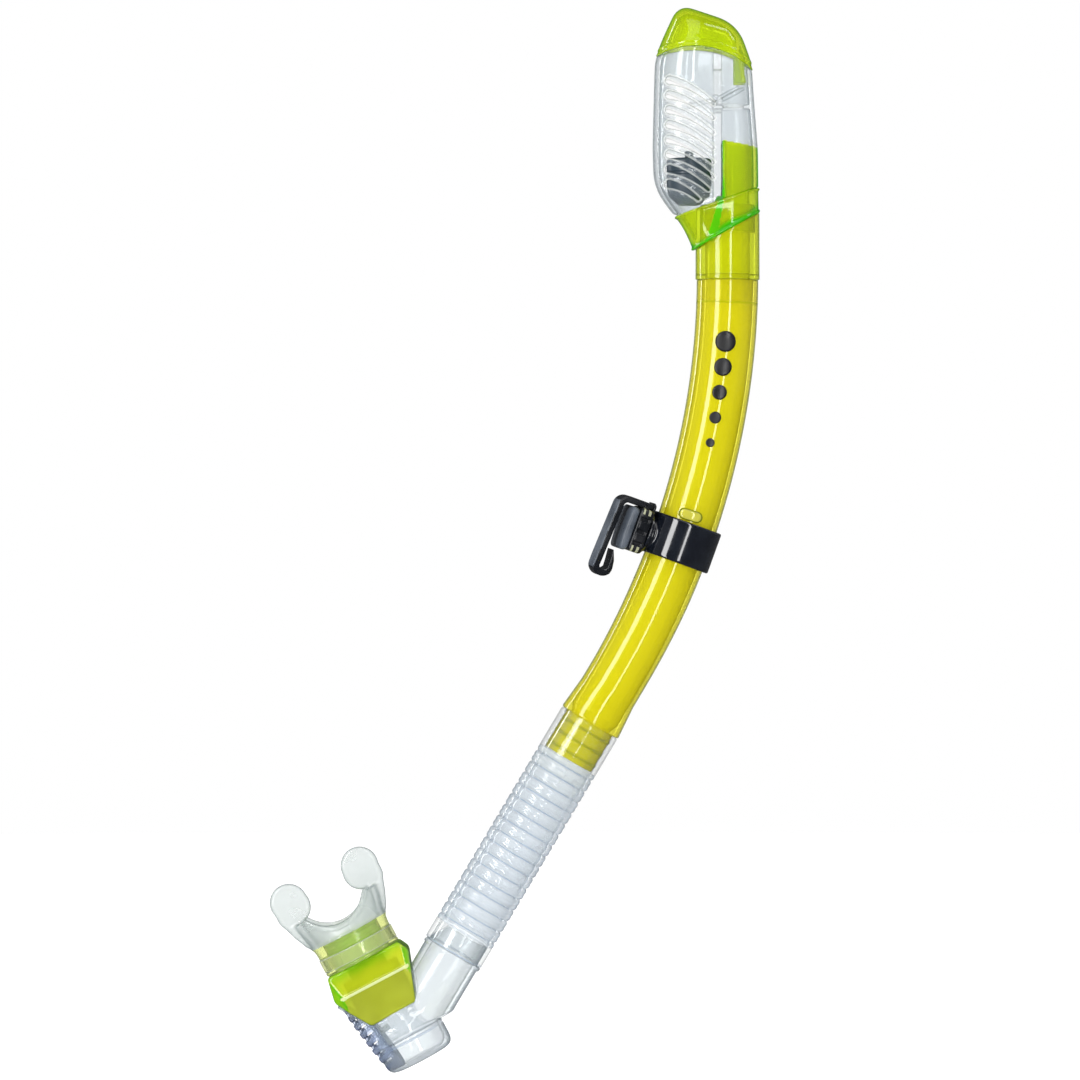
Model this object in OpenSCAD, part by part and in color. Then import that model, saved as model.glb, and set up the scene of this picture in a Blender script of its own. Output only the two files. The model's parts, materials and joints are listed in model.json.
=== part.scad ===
// Dry-top snorkel tube: a float valve head, a bent rigid barrel with a swivelling
// mask-strap clip, a corrugated hose, and a purge chamber with a mouthpiece.
// Millimetres, +Z up. The origin is the centre of the breathing port's mouth.
// The tube is laid out from the top of its bend, and place() moves it to the origin.

/* [Barrel] */
// Outside diameter of the rigid barrel
barrel_od = 24.5; // [24.2:0.1:24.8]
// Wall thickness of the barrel
barrel_wall = 2; // [1.9:0.05:2.1]
// Radius of the bend, to the tube's centreline
bend_r = 314.5; // [300:0.5:330]
// Angle that the centreline turns through
bend_angle = 30.8; // [29:0.1:33]
// Straight length of barrel under the bend
barrel_tail = 20.8; // [18:0.1:24]

/* [Hose] */
// Length of hose between the barrel's lower edge and the chamber
hose_length = 107; // [97:1:117]
// Outside diameter of the hose
hose_od = 25.7; // [25.4:0.1:26]
// Number of corrugations
hose_ribs = 16; // [13:1:18]
// Depth of each corrugation
rib_depth = 0.9; // [0.5:0.1:1]

/* [Dry top] */
// Outside radius of the float chamber
float_house_r = 14.5; // [14.3:0.1:14.8]
// Wall thickness of the clear and lime shells
shell_wall = 1.8; // [1.6:0.1:1.9]
// Number of louvre slots in each side of the housing
louvres = 8; // [6:1:8]
// Radius of the float
float_r = 9; // [8:0.1:9]
// Travel of the float from rest to valve shut
float_travel = 22; // [18:0.5:22]
// Angle that the valve lever swings through
valve_swing = 28; // [26:1:28]

/* [Clip] */
// Height of the keeper ring along the tube
ring_height = 16.8; // [14:0.1:17]
// Turn of the clip about the tube, from straight out
clip_turn = 15; // [-180:1:180]
// Gap between the pad and the hook, where the mask strap runs
strap_gap = 2; // [1.6:0.1:2.4]

/* [Chamber] */
// Angle between the hose and the mouthpiece
mouth_angle = 58.6; // [56:0.2:62]
// Radius of the breathing port
port_r = 8; // [7.5:0.1:8.1]
// Lift of the purge flap
purge_lift = 1.2; // [0.8:0.1:1.4]

/* [Hidden] */
$fn = 64;

far = 120;          // longer than any local feature
fit = 0.06;         // gap left between glued or snapped pieces
run = 0.08;         // radial clearance of a running fit

// Centreline stations, measured down the tube from the top of the bend
arc_length = bend_r * bend_angle * PI / 180;
barrel_top_s = 2;
neck_plug = 8.8;
keeper_s = 109;
barrel_end_s = arc_length + barrel_tail;
hose_end_s = barrel_end_s + hose_length;
neck_to_cross = 38.6;
cross_s = hose_end_s + neck_to_cross;

// Barrel
barrel_r = barrel_od / 2;
bore_r = barrel_r - barrel_wall;
flare_r = 12.9;
spigot_r = 10.5;
spigot_bore_r = 8.9;
spigot_length = 17;
spigot_ring_r = 10.9;
lug_size = [9.6, 2, 4.4];
lug_above_keeper = 11.2;

// Neck and dry top, in the head's own frame, which stands above the top of the bend
head_at = [0.84, 0, 8];
neck_x = -head_at[0];
neck_r = 12.8;
duct_x = 0.3;
duct_r = 11;
float_x = -16.2;
bowl_z = 30;
seam1 = [-5, 21.2, 19.1];   // x, z and slope of the clear to lime seam
seam2 = [-1.6, 9, 29.6];    // x, z and slope of the lime to yellow seam
collar_bore_r = 11;
collar_bore_top = 19;
riser_r = 8.8;
riser_top = 45.2;
cap_seam_x = -14.1;
cap_seam_z = 49;
cap_seam_r = 33.7;
divider = [-6.6, -3.2];
seat_z = 60;
seat_thick = 1.6;
mouth_x = 1.4;
mouth_slot = [4.2, 2.4];    // radius and half spacing of the duct's valve mouth
louvre_pitch = 5.9;
louvre_top = 65.4;
louvre_slope = 30;
louvre_width = 2.6;

// Float and rocker
float_bottom = 19.6;
float_height = 19;
boss_r = 1.8;
pivot = [-5.8, 62.2];
pin_r = 0.8;
pin_length = 16;
arm_length = pivot[0] - float_x;
arm_rise = valve_swing / 2;
foot_r = 1.2;
foot_low = pivot[1] + arm_length * sin(arm_rise) - foot_r;      // underside of the foot with the valve shut
boss_height = foot_low - 0.02 - float_travel - float_bottom - float_height;
hub_r = 1.7;
seal_thick = 1.4;
plate_thick = 1.2;

// Keeper ring and clip; distances from the tube's centreline outwards
ring_bore_r = barrel_r + 0.2;
ring_r = ring_bore_r + 1.85;
boss_face = ring_r + 0.2;
plate_face = boss_face + 1.3;
body_face = plate_face + 6.2;
pad_face = body_face + 4.4;
clip_drop = 1.3;            // the clip's hub sits this far under the ring's middle
swivel_pin_r = 2.4;
swivel_head_r = 4;
body_half = [9, 8];         // half height along the tube, half width
hook_width = 9;
hook_thick = 2.7;
hook_inner = pad_face + strap_gap;
hook_outer = hook_inner + hook_thick;
hook_drop = 18;
curl_r = 1.6;
hook_pivot = [plate_face + 2, body_half[0] + 1.3];
knuckle_r = 1.35;

// Hose
cuff_length = 17.5;
end_cuff_length = 9;
hose_r = hose_od / 2;
hose_bore_r = 10.2;
cuff_bore_r = 11;
neck_spigot_r = 11;
neck_spigot_length = 8.5;

// Chamber; heights along the mouthpiece's axis from where it crosses the hose's
chamber_neck_r = 12.3;
chamber_bore_r = 9.6;
mouth_tube_r = 13.6;
adapter_top = 34.6;
adapter_depth = 14.5;
adapter_inset = 2.6;
adapter_ridge = 25;
adapter_outline = [
    [-15.8, 34.6], [15.8, 34.6], [18.2, 30.4], [11.5, 10.6], [-8.5, 10], [-17.8, 24.6]
];
socket_r = 12;
socket_top = 29;
mouth_spigot_r = 12;
mouthpiece_r = 15.7;
band_r = 15.1;
mouth_spigot_length = 12.2;
port_z = adapter_top + mouth_spigot_length;

// Purge valve; heights along its own axis
purge_z = 7.1;
purge_tilt = 99.7;
purge_r = 13.5;
purge_spread = 3.6;
purge_face = 14.4;
purge_seat_z = 7.2;
seat_plate = 1.5;
valve_x = -0.5;             // the valve's centre, along the guard
seat_r = 6.9;
flap_r = 5.4;
flap_thick = 0.8;
stem_r = 1.2;
flap_z = purge_seat_z + seat_plate + 0.05;
guard_base = purge_seat_z + seat_plate + 0.05;
guard_wall = 1.4;
stop_z = flap_z + flap_thick + purge_lift + 0.02;       // post in the guard that the lifted flap meets

// Sump cap
sump_x = 2.1;
sump_r = 14.4;
sump_top = -0.6;
sump_bottom = -12;
sump_wall = 1.6;

// ---------- placing ----------

// Position on the centreline at station s
function on_line(s) =
    let (a = min(max(s / bend_r * 180 / PI, 0), bend_angle))
    let (straight = s < 0 ? s : max(0, s - arc_length))
    [-bend_r + bend_r * cos(a) - straight * sin(a), 0, -bend_r * sin(a) - straight * cos(a)];

mouth_lean = mouth_angle - bend_angle;
port_at = on_line(cross_s) + port_z * [-sin(mouth_lean), 0, cos(mouth_lean)];

// Moves the laid-out tube so that the breathing port is the origin
module place() {
    translate(-port_at) children();
}

// Frame of the dry top
module at_head() {
    translate(head_at) children();
}

// Local frame on the centreline at station s, with +Z up the tube
module at_station(s) {
    angle = min(max(s / bend_r * 180 / PI, 0), bend_angle);
    straight = s < 0 ? s : max(0, s - arc_length);
    translate([-bend_r, 0, 0]) rotate([0, angle, 0]) translate([bend_r, 0, -straight]) children();
}

// Frame of the mouthpiece's axis, +Z out of the mouthpiece
module at_mouth() {
    at_station(cross_s) rotate([0, -mouth_angle, 0]) children();
}

// Frame of the purge valve, +Z the way the water leaves
module at_purge() {
    at_mouth() translate([0, 0, purge_z]) rotate([0, -purge_tilt, 0]) children();
}

// Frame of the clip, +Z out from the tube, +X up the tube
module at_clip() {
    at_station(keeper_s) rotate([0, 0, clip_turn]) rotate([0, -90, 0])
        translate([-clip_drop, 0, 0]) children();
}

// ---------- helpers ----------

// Solid bent rod of radius r between stations s0 and s1 of the bend
module bent_rod(r, s0, s1) {
    a0 = s0 / bend_r * 180 / PI;
    a1 = s1 / bend_r * 180 / PI;
    translate([-bend_r, 0, 0]) rotate([-90, 0, 0]) rotate([0, 0, a0])
        rotate_extrude(angle = a1 - a0, $fn = 360) translate([bend_r, 0]) circle(r, $fn = 64);
}

// Cylinder along Y, centred
module rod_y(r, length) {
    rotate([90, 0, 0]) cylinder(r = r, h = length, center = true);
}

// Round-ended bar standing on Z = 0: two cylinders spread along X
module stadium(r, spread, height) {
    for (side = [-1, 1])
        translate([side * spread, 0, 0]) cylinder(r = r, h = height);
    translate([-spread, -r, 0]) cube([2 * spread, 2 * r, height]);
}

// Block with round corners along Z, standing on Z = 0
module round_block(half_x, half_y, corner, height) {
    translate([-half_x, -half_y + corner, 0]) cube([2 * half_x, 2 * (half_y - corner), height]);
    translate([-half_x + corner, -half_y, 0]) cube([2 * (half_x - corner), 2 * half_y, height]);
    for (x = [-1, 1], y = [-1, 1])
        translate([x * (half_x - corner), y * (half_y - corner), 0]) cylinder(r = corner, h = height);
}

// Half space above a slanted seam
module above(seam) {
    translate([seam[0], 0, seam[1]]) rotate([0, -seam[2], 0])
        translate([-far, -far, 0]) cube(2 * far);
}

// Thin slanted disc lying in a seam, cut from a vertical cylinder
module seam_disc(seam, x, r) {
    thin = 0.05;
    intersection() {
        translate([x, 0, -far]) cylinder(r = r, h = 2 * far);
        translate([seam[0], 0, seam[1]]) rotate([0, -seam[2], 0])
            cube([far, far, thin], center = true);
    }
}

// Thin level disc
module disc(x, z, r) {
    translate([x, 0, z]) cylinder(r = r, h = 0.05);
}

// ---------- dry top ----------

// Head above the collar, shrunk by inset
module head_blank(inset) {
    hull($fn = 40) {
        translate([float_x, 0, bowl_z]) sphere(float_house_r - inset, $fn = 40);
        disc(float_x + 0.6, 84, float_house_r - 0.4 - inset);
        disc(duct_x - 2.2, 84, duct_r - 0.8 - inset);
        disc(duct_x, 42, duct_r - inset);
        seam_disc(seam1, duct_x, duct_r - inset);
        seam_disc(seam1, -11.1, 10 - inset);
    }
}

// Domed top of the head, shrunk by inset
module dome_blank(inset) {
    hull($fn = 40) {
        disc(float_x + 0.5, 74, float_house_r - 0.4 - inset);
        disc(duct_x - 1.9, 71, duct_r - 0.5 - inset);
        disc(float_x + 0.9, 83, 12.4 - inset);
        for (side = [-1, 1]) {
            translate([-17.6, side * 4.5, 91.2]) sphere(5.1 - inset, $fn = 32);
            translate([-3.2, side * 3.5, 84.8]) sphere(7.5 - inset, $fn = 32);
        }
    }
}

// Everything under the cap's arched seam, grown by extra
module under_cap(extra) {
    translate([cap_seam_x, 0, cap_seam_z]) rod_y(cap_seam_r + extra, far);
}

module top_cap() {
    tongue = [5, 0.9, 19];
    tongue_at = [1.6, 6.2, 68.4];
    inner_floor = 71.5;
    color([0.72, 0.86, 0.12, 0.8]) place() at_head() {
        difference() {
            dome_blank(0);
            difference() {
                dome_blank(shell_wall);
                translate([-far, -far, -far]) cube([2 * far, 2 * far, far + inner_floor]);
            }
            under_cap(fit);
        }
        intersection() {
            union() {
                head_blank(shell_wall + 0.15);
                difference() {
                    dome_blank(shell_wall / 2);
                    under_cap(fit);
                }
            }
            union() {
                for (side = [-1, 1])
                    translate([tongue_at[0], side * tongue_at[1] - tongue[1] / 2, tongue_at[2]]) cube(tongue);
                translate([tongue_at[0] + 1, -far / 2, tongue_at[2] + 12]) cube([1.2, far, far]);
            }
        }
    }
}

// Louvre slots through both faces of the float chamber
module louvre_slots() {
    for (i = [0 : louvres - 1]) {
        half = i < louvres - 2 ? 9 : 6.5;
        translate([float_x - 0.3, 0, louvre_top - i * louvre_pitch]) rotate([0, louvre_slope, 0])
            rotate([90, 0, 0]) translate([0, 0, -far / 2])
                stadium(louvre_width / 2, half - louvre_width / 2, far);
    }
}

module float_housing() {
    window = [57, 74, 6.2];
    post_r = 1.9;
    color([0.86, 0.9, 0.92, 0.4]) place() at_head() difference() {
        union() {
            difference() {
                head_blank(0);
                head_blank(shell_wall);
            }
            intersection() {
                head_blank(shell_wall / 2);
                union() {
                    translate([divider[0], -far / 2, 0]) cube([divider[1] - divider[0], far, far]);
                    translate([divider[0], -far / 2, seat_z - seat_thick]) cube([far, far, seat_thick]);
                }
            }
            for (side = [-1, 1])
                translate([pivot[0], side * (pin_length / 2 - 0.6), pivot[1]]) rod_y(post_r, 2.4);
        }
        difference() {
            translate([-far, -far, -far]) cube([2 * far, 2 * far, 2 * far]);
            above(seam1);
        }
        difference() {
            translate([-far / 2, -far / 2, cap_seam_z]) cube(far);
            under_cap(0);
        }
        louvre_slots();
        translate([divider[0] - 1, -window[2], window[0]])
            cube([divider[1] - divider[0] + 2, 2 * window[2], window[1] - window[0]]);
        translate([mouth_x, 0, seat_z - 5]) rotate([0, 0, 90]) stadium(mouth_slot[0], mouth_slot[1], 10);
        translate([pivot[0], 0, pivot[1]]) rod_y(pin_r, pin_length);
    }
}

// Outside of the collar between its two seams, shrunk by inset
module collar_blank(inset) {
    hull($fn = 48) {
        seam_disc(seam1, duct_x, duct_r - inset);
        seam_disc(seam1, -11.1, 10 - inset);
        seam_disc(seam2, neck_x, neck_r - inset);
    }
}

// Everything right of x
module right_of(x) {
    translate([x, -far, -far]) cube(2 * far);
}

module head_collar() {
    pocket_x = -13.4;
    color([0.72, 0.86, 0.12, 0.8]) place() at_head() {
        difference() {
            intersection() {
                collar_blank(0);
                difference() {
                    above([seam2[0], seam2[1] + fit, seam2[2]]);
                    above([seam1[0], seam1[1] - fit, seam1[2]]);
                }
            }
            translate([neck_x, 0, -far + collar_bore_top]) cylinder(r = collar_bore_r, h = far);
            intersection() {
                translate([duct_x, 0, 0]) cylinder(r = riser_r - 1.5, h = far);
                right_of(divider[1] + 1.6);
            }
            difference() {
                intersection() {
                    translate([0, 0, shell_wall]) collar_blank(shell_wall);
                    above([seam2[0], seam2[1] + 4, seam2[2]]);
                }
                right_of(pocket_x);
            }
            above([seam1[0], seam1[1] - fit, seam1[2]]);
        }
        difference() {
            intersection() {
                translate([duct_x, 0, 0]) cylinder(r = riser_r, h = riser_top);
                right_of(divider[1] + 0.1);
                above([seam1[0], seam1[1] - 1, seam1[2]]);
            }
            intersection() {
                translate([duct_x, 0, -1]) cylinder(r = riser_r - 1.5, h = far);
                right_of(divider[1] + 1.6);
            }
        }
    }
}

module neck() {
    top_plug_r = collar_bore_r - fit;
    color([0.86, 0.84, 0.1, 0.8]) place() difference() {
        union() {
            difference() {
                cylinder(r = neck_r, h = 4 * collar_bore_top);
                at_head() above(seam2);
            }
            cylinder(r = top_plug_r, h = head_at[2] + collar_bore_top - fit);
            bent_rod(neck_r, 0, barrel_top_s - fit);
            bent_rod(bore_r - fit, barrel_top_s - 1, barrel_top_s + neck_plug);
        }
        translate([0, 0, -0.01]) cylinder(r = spigot_bore_r, h = far);
        bent_rod(spigot_bore_r, 0, barrel_top_s + neck_plug + 1);
    }
}

// Rocker parts are drawn shut and swung open by this module
module rocker() {
    at_head() translate([pivot[0], 0, pivot[1]]) rotate([0, -valve_swing, 0]) children();
}

module float() {
    round_r = 11.5;
    color([0.3, 0.34, 0.37]) place() at_head() translate([float_x, 0, 0]) {
        intersection() {
            translate([0, 0, float_bottom]) cylinder(r = float_r, h = float_height);
            union() {
                translate([0, 0, bowl_z]) sphere(round_r);
                translate([0, 0, bowl_z]) cylinder(r = round_r, h = far);
            }
        }
        translate([0, 0, float_bottom + float_height - 1]) cylinder(r = boss_r, h = boss_height + 1);
    }
}

module valve_lever() {
    arm_width = 5;
    plate_half = [3.4, 5.4];
    reach = mouth_x - pivot[0];
    plate_low = seat_z + 0.1 + seal_thick - pivot[1];
    color([0.85, 0.88, 0.9, 0.6]) place() rocker() difference() {
        union() {
            rod_y(hub_r, 12);
            translate([0, -plate_half[1], plate_low])
                cube([reach + plate_half[0], 2 * plate_half[1], plate_thick]);
            rotate([0, -180 + arm_rise, 0]) {
                translate([0, -arm_width / 2, -0.7]) cube([arm_length, arm_width, 1.4]);
                translate([arm_length, 0, 0]) rod_y(foot_r, arm_width);
            }
        }
        rod_y(pin_r + run, far);
    }
}

module valve_seal() {
    reach = mouth_x - pivot[0];
    color([0.8, 0.82, 0.82, 0.8]) place() rocker()
        translate([reach, 0, seat_z + 0.08 - pivot[1]]) rotate([0, 0, 90])
            stadium(mouth_slot[0] + 0.5, mouth_slot[1], seal_thick);
}

module lever_pin() {
    color([0.75, 0.76, 0.78]) place() at_head() translate([pivot[0], 0, pivot[1]]) rod_y(pin_r, pin_length - 0.1);
}

// ---------- barrel ----------

// Raised lozenge above the keeper ring that fixes the ring's height
module stop_lug() {
    at_station(keeper_s - lug_above_keeper)
        translate([0, -barrel_r - lug_size[1] + 0.6, -lug_size[2] / 2]) rotate([-90, 0, 0])
            translate([0, -lug_size[2] / 2, 0])
                stadium(lug_size[2] / 2, (lug_size[0] - lug_size[2]) / 2, lug_size[1] + 1);
}

module barrel() {
    step = 0.04;        // the straight end is this much thicker, so the two stretches join cleanly
    lap = 0.5;
    flare_length = 9;
    color([0.88, 0.86, 0.12, 0.75]) place() difference() {
        union() {
            bent_rod(barrel_r, barrel_top_s, arc_length);
            at_station(barrel_end_s) {
                cylinder(r = barrel_r + step, h = barrel_tail + lap);
                cylinder(r1 = flare_r, r2 = barrel_r, h = flare_length);
                translate([0, 0, -spigot_length]) cylinder(r = spigot_r, h = spigot_length + 1);
                for (i = [0 : 2])
                    translate([0, 0, -3.4 - i * 5.4]) cylinder(r = spigot_ring_r, h = 1.6);
            }
            stop_lug();
        }
        bent_rod(bore_r, barrel_top_s - 1, arc_length);
        at_station(barrel_end_s) {
            cylinder(r = bore_r - step, h = barrel_tail + lap);
            translate([0, 0, -spigot_length - 1]) cylinder(r = spigot_bore_r, h = far / 4);
        }
    }
}

// ---------- keeper ring and mask-strap clip ----------

module keeper_ring() {
    hub_r = 7;
    color([0.05, 0.05, 0.06]) place() difference() {
        union() {
            at_station(keeper_s) translate([0, 0, -ring_height / 2]) cylinder(r = ring_r, h = ring_height);
            at_clip() cylinder(r = hub_r, h = boss_face);
        }
        at_station(keeper_s) translate([0, 0, -far / 2]) cylinder(r = ring_bore_r, h = far);
        at_clip() cylinder(r = swivel_pin_r, h = far);
    }
}

module swivel_plate() {
    color([0.12, 0.13, 0.15]) place() at_clip() translate([0, 0, boss_face + 0.02]) difference() {
        cylinder(r = 8.2, h = plate_face - boss_face - 0.02);
        translate([0, 0, -1]) cylinder(r = swivel_pin_r + run, h = far);
    }
}

module swivel_pin() {
    color([0.4, 0.41, 0.43]) place() at_clip() {
        translate([0, 0, ring_bore_r + 0.3]) cylinder(r = swivel_pin_r, h = plate_face + 4.9 - ring_bore_r - 0.3);
        translate([0, 0, plate_face + 3.6]) cylinder(r = swivel_head_r, h = 1.3);
    }
}

module clip_body() {
    low = plate_face + 0.08;
    height = body_face - low;
    rib_gap = 1.6;
    color([0.06, 0.06, 0.07]) place() at_clip() difference() {
        union() {
            translate([0, 0, low]) round_block(body_half[0], body_half[1], 3, height);
            translate([hook_pivot[1], 0, hook_pivot[0]]) rod_y(knuckle_r + 1, hook_width);
            translate([body_half[0] - 2, -hook_width / 2, hook_pivot[0] - knuckle_r - 1])
                cube([2.2, hook_width, 2 * knuckle_r + 2]);
        }
        translate([0, 0, low - 1]) cylinder(r = swivel_pin_r + run, h = far);
        translate([0, 0, plate_face + 3.5]) cylinder(r = swivel_head_r + 0.2, h = far);
        translate([hook_pivot[1], 0, hook_pivot[0]]) rod_y(knuckle_r + run, far);
        translate([hook_pivot[1] + 0.4, -far / 2, hook_pivot[0] - 1.2]) cube(far);
        translate([hook_pivot[1] - knuckle_r - run, -far / 2, hook_pivot[0]]) cube(far);
        translate([-far / 2, -far / 2, low - far]) cube(far);
        for (side = [-1, 1], i = [0 : 2])
            translate([-6.2 + i * 5, side * body_half[1] - 0.6, low + 1.4]) cube([rib_gap, 1.2, height - 2.6]);
    }
}

module strap_pad() {
    drop = 0.6;
    crown = 1.5;
    color([0.35, 0.37, 0.4]) place() at_clip() translate([-drop, 0, 0]) {
        translate([0, 0, body_face + 0.02]) round_block(8.9, 8, 3.5, pad_face - body_face - crown + 0.1);
        translate([0, 0, pad_face - crown]) round_block(7.8, 6.9, 3.5, crown);
    }
}

// Side view of the hook, x out from the tube and y up the tube
module hook_outline() {
    drop = -hook_drop;
    curl_x = hook_outer - hook_thick - curl_r;
    lip_x = curl_x - curl_r - hook_thick;
    bend = 3.6;
    top = hook_pivot[1] + hook_thick / 2;
    difference() {
        union() {
            translate([hook_pivot[0], top - hook_thick]) square([hook_outer - bend - hook_pivot[0], hook_thick]);
            translate([hook_inner, drop]) square([hook_thick, top - bend - drop]);
            translate([hook_outer - bend, top - bend]) circle(bend);
        }
        translate([hook_outer - bend, top - bend]) circle(bend - hook_thick);
        translate([hook_pivot[0], top - far - hook_thick]) square([hook_inner - hook_pivot[0], far]);
    }
    intersection() {
        translate([curl_x, drop]) difference() {
            circle(curl_r + hook_thick);
            circle(curl_r);
        }
        translate([curl_x - far, drop - far]) square([2 * far, far]);
    }
    polygon([[lip_x, drop], [lip_x + hook_thick, drop], [lip_x + 2.4, drop + 6], [lip_x + 1.5, drop + 6]]);
    translate([hook_pivot[0], hook_pivot[1]]) circle(knuckle_r);
}

module strap_hook() {
    color([0.09, 0.09, 0.1]) place() at_clip() rotate([0, 90, 0]) mirror([1, 0, 0])
        rotate([90, 0, 0]) linear_extrude(hook_width, center = true) hook_outline();
}

// ---------- hose ----------

// Half section of the hose, from the chamber's seam upwards
module hose_section() {
    start = end_cuff_length;
    stop = hose_length - cuff_length;
    pitch = (stop - start) / hose_ribs;
    valley = hose_r - rib_depth;
    ribs = [for (i = [0 : hose_ribs - 1], p = [[valley, 0.1], [hose_r, 0.35], [hose_r, 0.7], [valley, 0.95]])
        [p[0], start + (i + p[1]) * pitch]];
    polygon(concat(
        [[cuff_bore_r + run, 0.1], [hose_r, 0.1], [hose_r, start]],
        ribs,
        [[hose_r, stop], [hose_r, hose_length - 0.1], [cuff_bore_r, hose_length - 0.1],
         [cuff_bore_r, stop], [hose_bore_r, stop - 1.5], [hose_bore_r, start + 0.5], [cuff_bore_r + run, start]]
    ));
}

module flex_hose() {
    color([0.84, 0.88, 0.9, 0.45]) place() at_station(hose_end_s) rotate_extrude() hose_section();
}

// ---------- chamber ----------

// Flat slice of the adapter's outline at y, shrunk by inset
module adapter_slice(y, inset) {
    middle = [0, 21];
    shrink = 1 - inset / 17;
    translate([0, y, 0]) rotate([90, 0, 0]) linear_extrude(0.02, center = true)
        translate(middle) scale(shrink) translate(-middle) polygon(adapter_outline);
}

// Outside of the lime adapter, grown by extra: widest on its mid-plane, with a flat face each side
module adapter_blank(extra) {
    hull() {
        adapter_slice(-adapter_depth - extra, adapter_inset - extra);
        adapter_slice(-4, -extra);
        adapter_slice(4, -extra);
        adapter_slice(adapter_depth + extra, adapter_inset - extra);
    }
}

// Slopes that thin the adapter from its ridge up to the mouthpiece
module adapter_facets() {
    lean = 11;
    for (side = [-1, 1])
        translate([0, side * adapter_depth, adapter_ridge]) rotate([side * lean, 0, 0])
            translate([0, side * far / 2, far / 2]) cube(far, center = true);
}

module mouthpiece_adapter() {
    groove_r = 11.3;
    color([0.7, 0.84, 0.12, 0.8]) place() at_mouth() difference() {
        union() {
            difference() {
                adapter_blank(0);
                adapter_facets();
            }
            translate([0, 0, adapter_top - 1]) cylinder(r = groove_r, h = mouth_spigot_length + 1);
            for (z = [0, 7.2, 10.7])
                translate([0, 0, adapter_top + z]) cylinder(r = mouth_spigot_r, h = 1.5);
        }
        cylinder(r = port_r, h = far);
        translate([0, 0, -far + socket_top]) cylinder(r = socket_r, h = far);
    }
}

module chamber_body() {
    sump_collar_r = 12.6;
    color([0.84, 0.88, 0.9, 0.4]) place() difference() {
        union() {
            difference() {
                union() {
                    at_station(hose_end_s) translate([0, 0, -neck_to_cross])
                        cylinder(r = chamber_neck_r, h = neck_to_cross);
                    at_station(hose_end_s) translate([0, 0, -1.5]) cylinder(r = hose_r, h = 1.45);
                    at_mouth() cylinder(r = mouth_tube_r, h = adapter_top - 10);
                    at_mouth() sphere(mouth_tube_r);
                    at_mouth() translate([sump_x, 0, sump_top + 0.05]) cylinder(r = sump_r, h = 5);
                    at_purge() stadium(purge_r, purge_spread, purge_seat_z);
                }
                at_mouth() adapter_blank(0.1);
            }
            at_mouth() translate([0, 0, 4]) cylinder(r = socket_r - fit, h = socket_top - 5.6);
            at_mouth() translate([sump_x, 0, -4.6]) cylinder(r = sump_collar_r, h = 5.6);
            at_station(hose_end_s) translate([0, 0, -1]) cylinder(r = neck_spigot_r, h = neck_spigot_length + 1);
        }
        at_station(hose_end_s) translate([0, 0, -neck_to_cross])
            cylinder(r = chamber_bore_r, h = neck_to_cross + neck_spigot_length + 1);
        at_mouth() translate([0, 0, 0]) cylinder(r = socket_r - 1.6, h = far);
        at_mouth() sphere(mouth_tube_r - 2);
        at_mouth() translate([sump_x, 0, -5]) cylinder(r = sump_collar_r - 1.5, h = 7);
        at_purge() translate([valve_x, 0, 0]) cylinder(r = flap_r - 0.6, h = far);
        difference() {
            at_purge() translate([0, 0, purge_seat_z]) stadium(purge_r + 0.1, purge_spread, far / 6);
            at_mouth() adapter_blank(0.05);
            at_mouth() translate([-far / 2, -far / 2, sump_top - far]) cube(far);
        }
        at_mouth() difference() {
            translate([-far / 2, -far / 2, -far + sump_top]) cube([far, far, far]);
            translate([sump_x, 0, -4.6]) cylinder(r = sump_collar_r, h = 4.6);
        }
    }
}

module mouthpiece_band() {
    color([0.9, 0.92, 0.92, 0.6]) place() at_mouth() translate([0, 0, adapter_top + 1.6]) difference() {
        cylinder(r = mouthpiece_r + 0.4, h = 5.8);
        translate([0, 0, -1]) cylinder(r = band_r, h = far);
    }
}

// Bite tab on one side: a rounded paddle on a short stalk
module bite_tab(side) {
    centre = [15.9, 32.6];      // across the mouth axis and above the adapter
    half = 7.3;
    thick = 4;
    rotate([90, 0, 0]) linear_extrude(thick, center = true) {
        translate([side * centre[0], centre[1]]) circle(half);
        translate([side * (centre[0] - 0.6), centre[1] + 1.8]) circle(half);
        polygon([[side * 12.6, 18], [side * 17, 15], [side * 22.4, 29.4], [side * 13.6, 27]]);
    }
}

// Oval flare of the mouthpiece, shrunk by inset
module mouth_flare(inset) {
    lip_z = 21.5;
    hull($fn = 40) {
        translate([0, 0, mouth_spigot_length - 0.5]) cylinder(r = mouthpiece_r - inset, h = 0.1);
        for (side = [-1, 1])
            translate([side * 7.4, 0, lip_z]) cylinder(r = 10.6 - inset * 0.8, h = inset > 0 ? 1 : 0.1);
    }
}

module mouthpiece() {
    arch_r = 14.6;
    arch_z = 17;
    wall = 2.4;
    color([0.86, 0.89, 0.89, 0.7]) place() at_mouth() translate([0, 0, adapter_top]) {
        difference() {
            union() {
                translate([0, 0, 0.1]) cylinder(r = mouthpiece_r, h = mouth_spigot_length);
                mouth_flare(0);
            }
            translate([0, 0, -1]) cylinder(r = mouth_spigot_r + fit, h = mouth_spigot_length + 1.2);
            mouth_flare(wall);
            translate([0, 0, arch_z + arch_r]) rod_y(arch_r, far);
            translate([0, 0, -1]) cylinder(r = port_r + 0.2, h = far);
            difference() {
                translate([0, 0, 1.5]) cylinder(r = far, h = 6);
                cylinder(r = band_r - fit, h = far);
            }
        }
        bite_tab(-1);
        bite_tab(1);
    }
}

// ---------- purge valve and sump ----------

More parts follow.
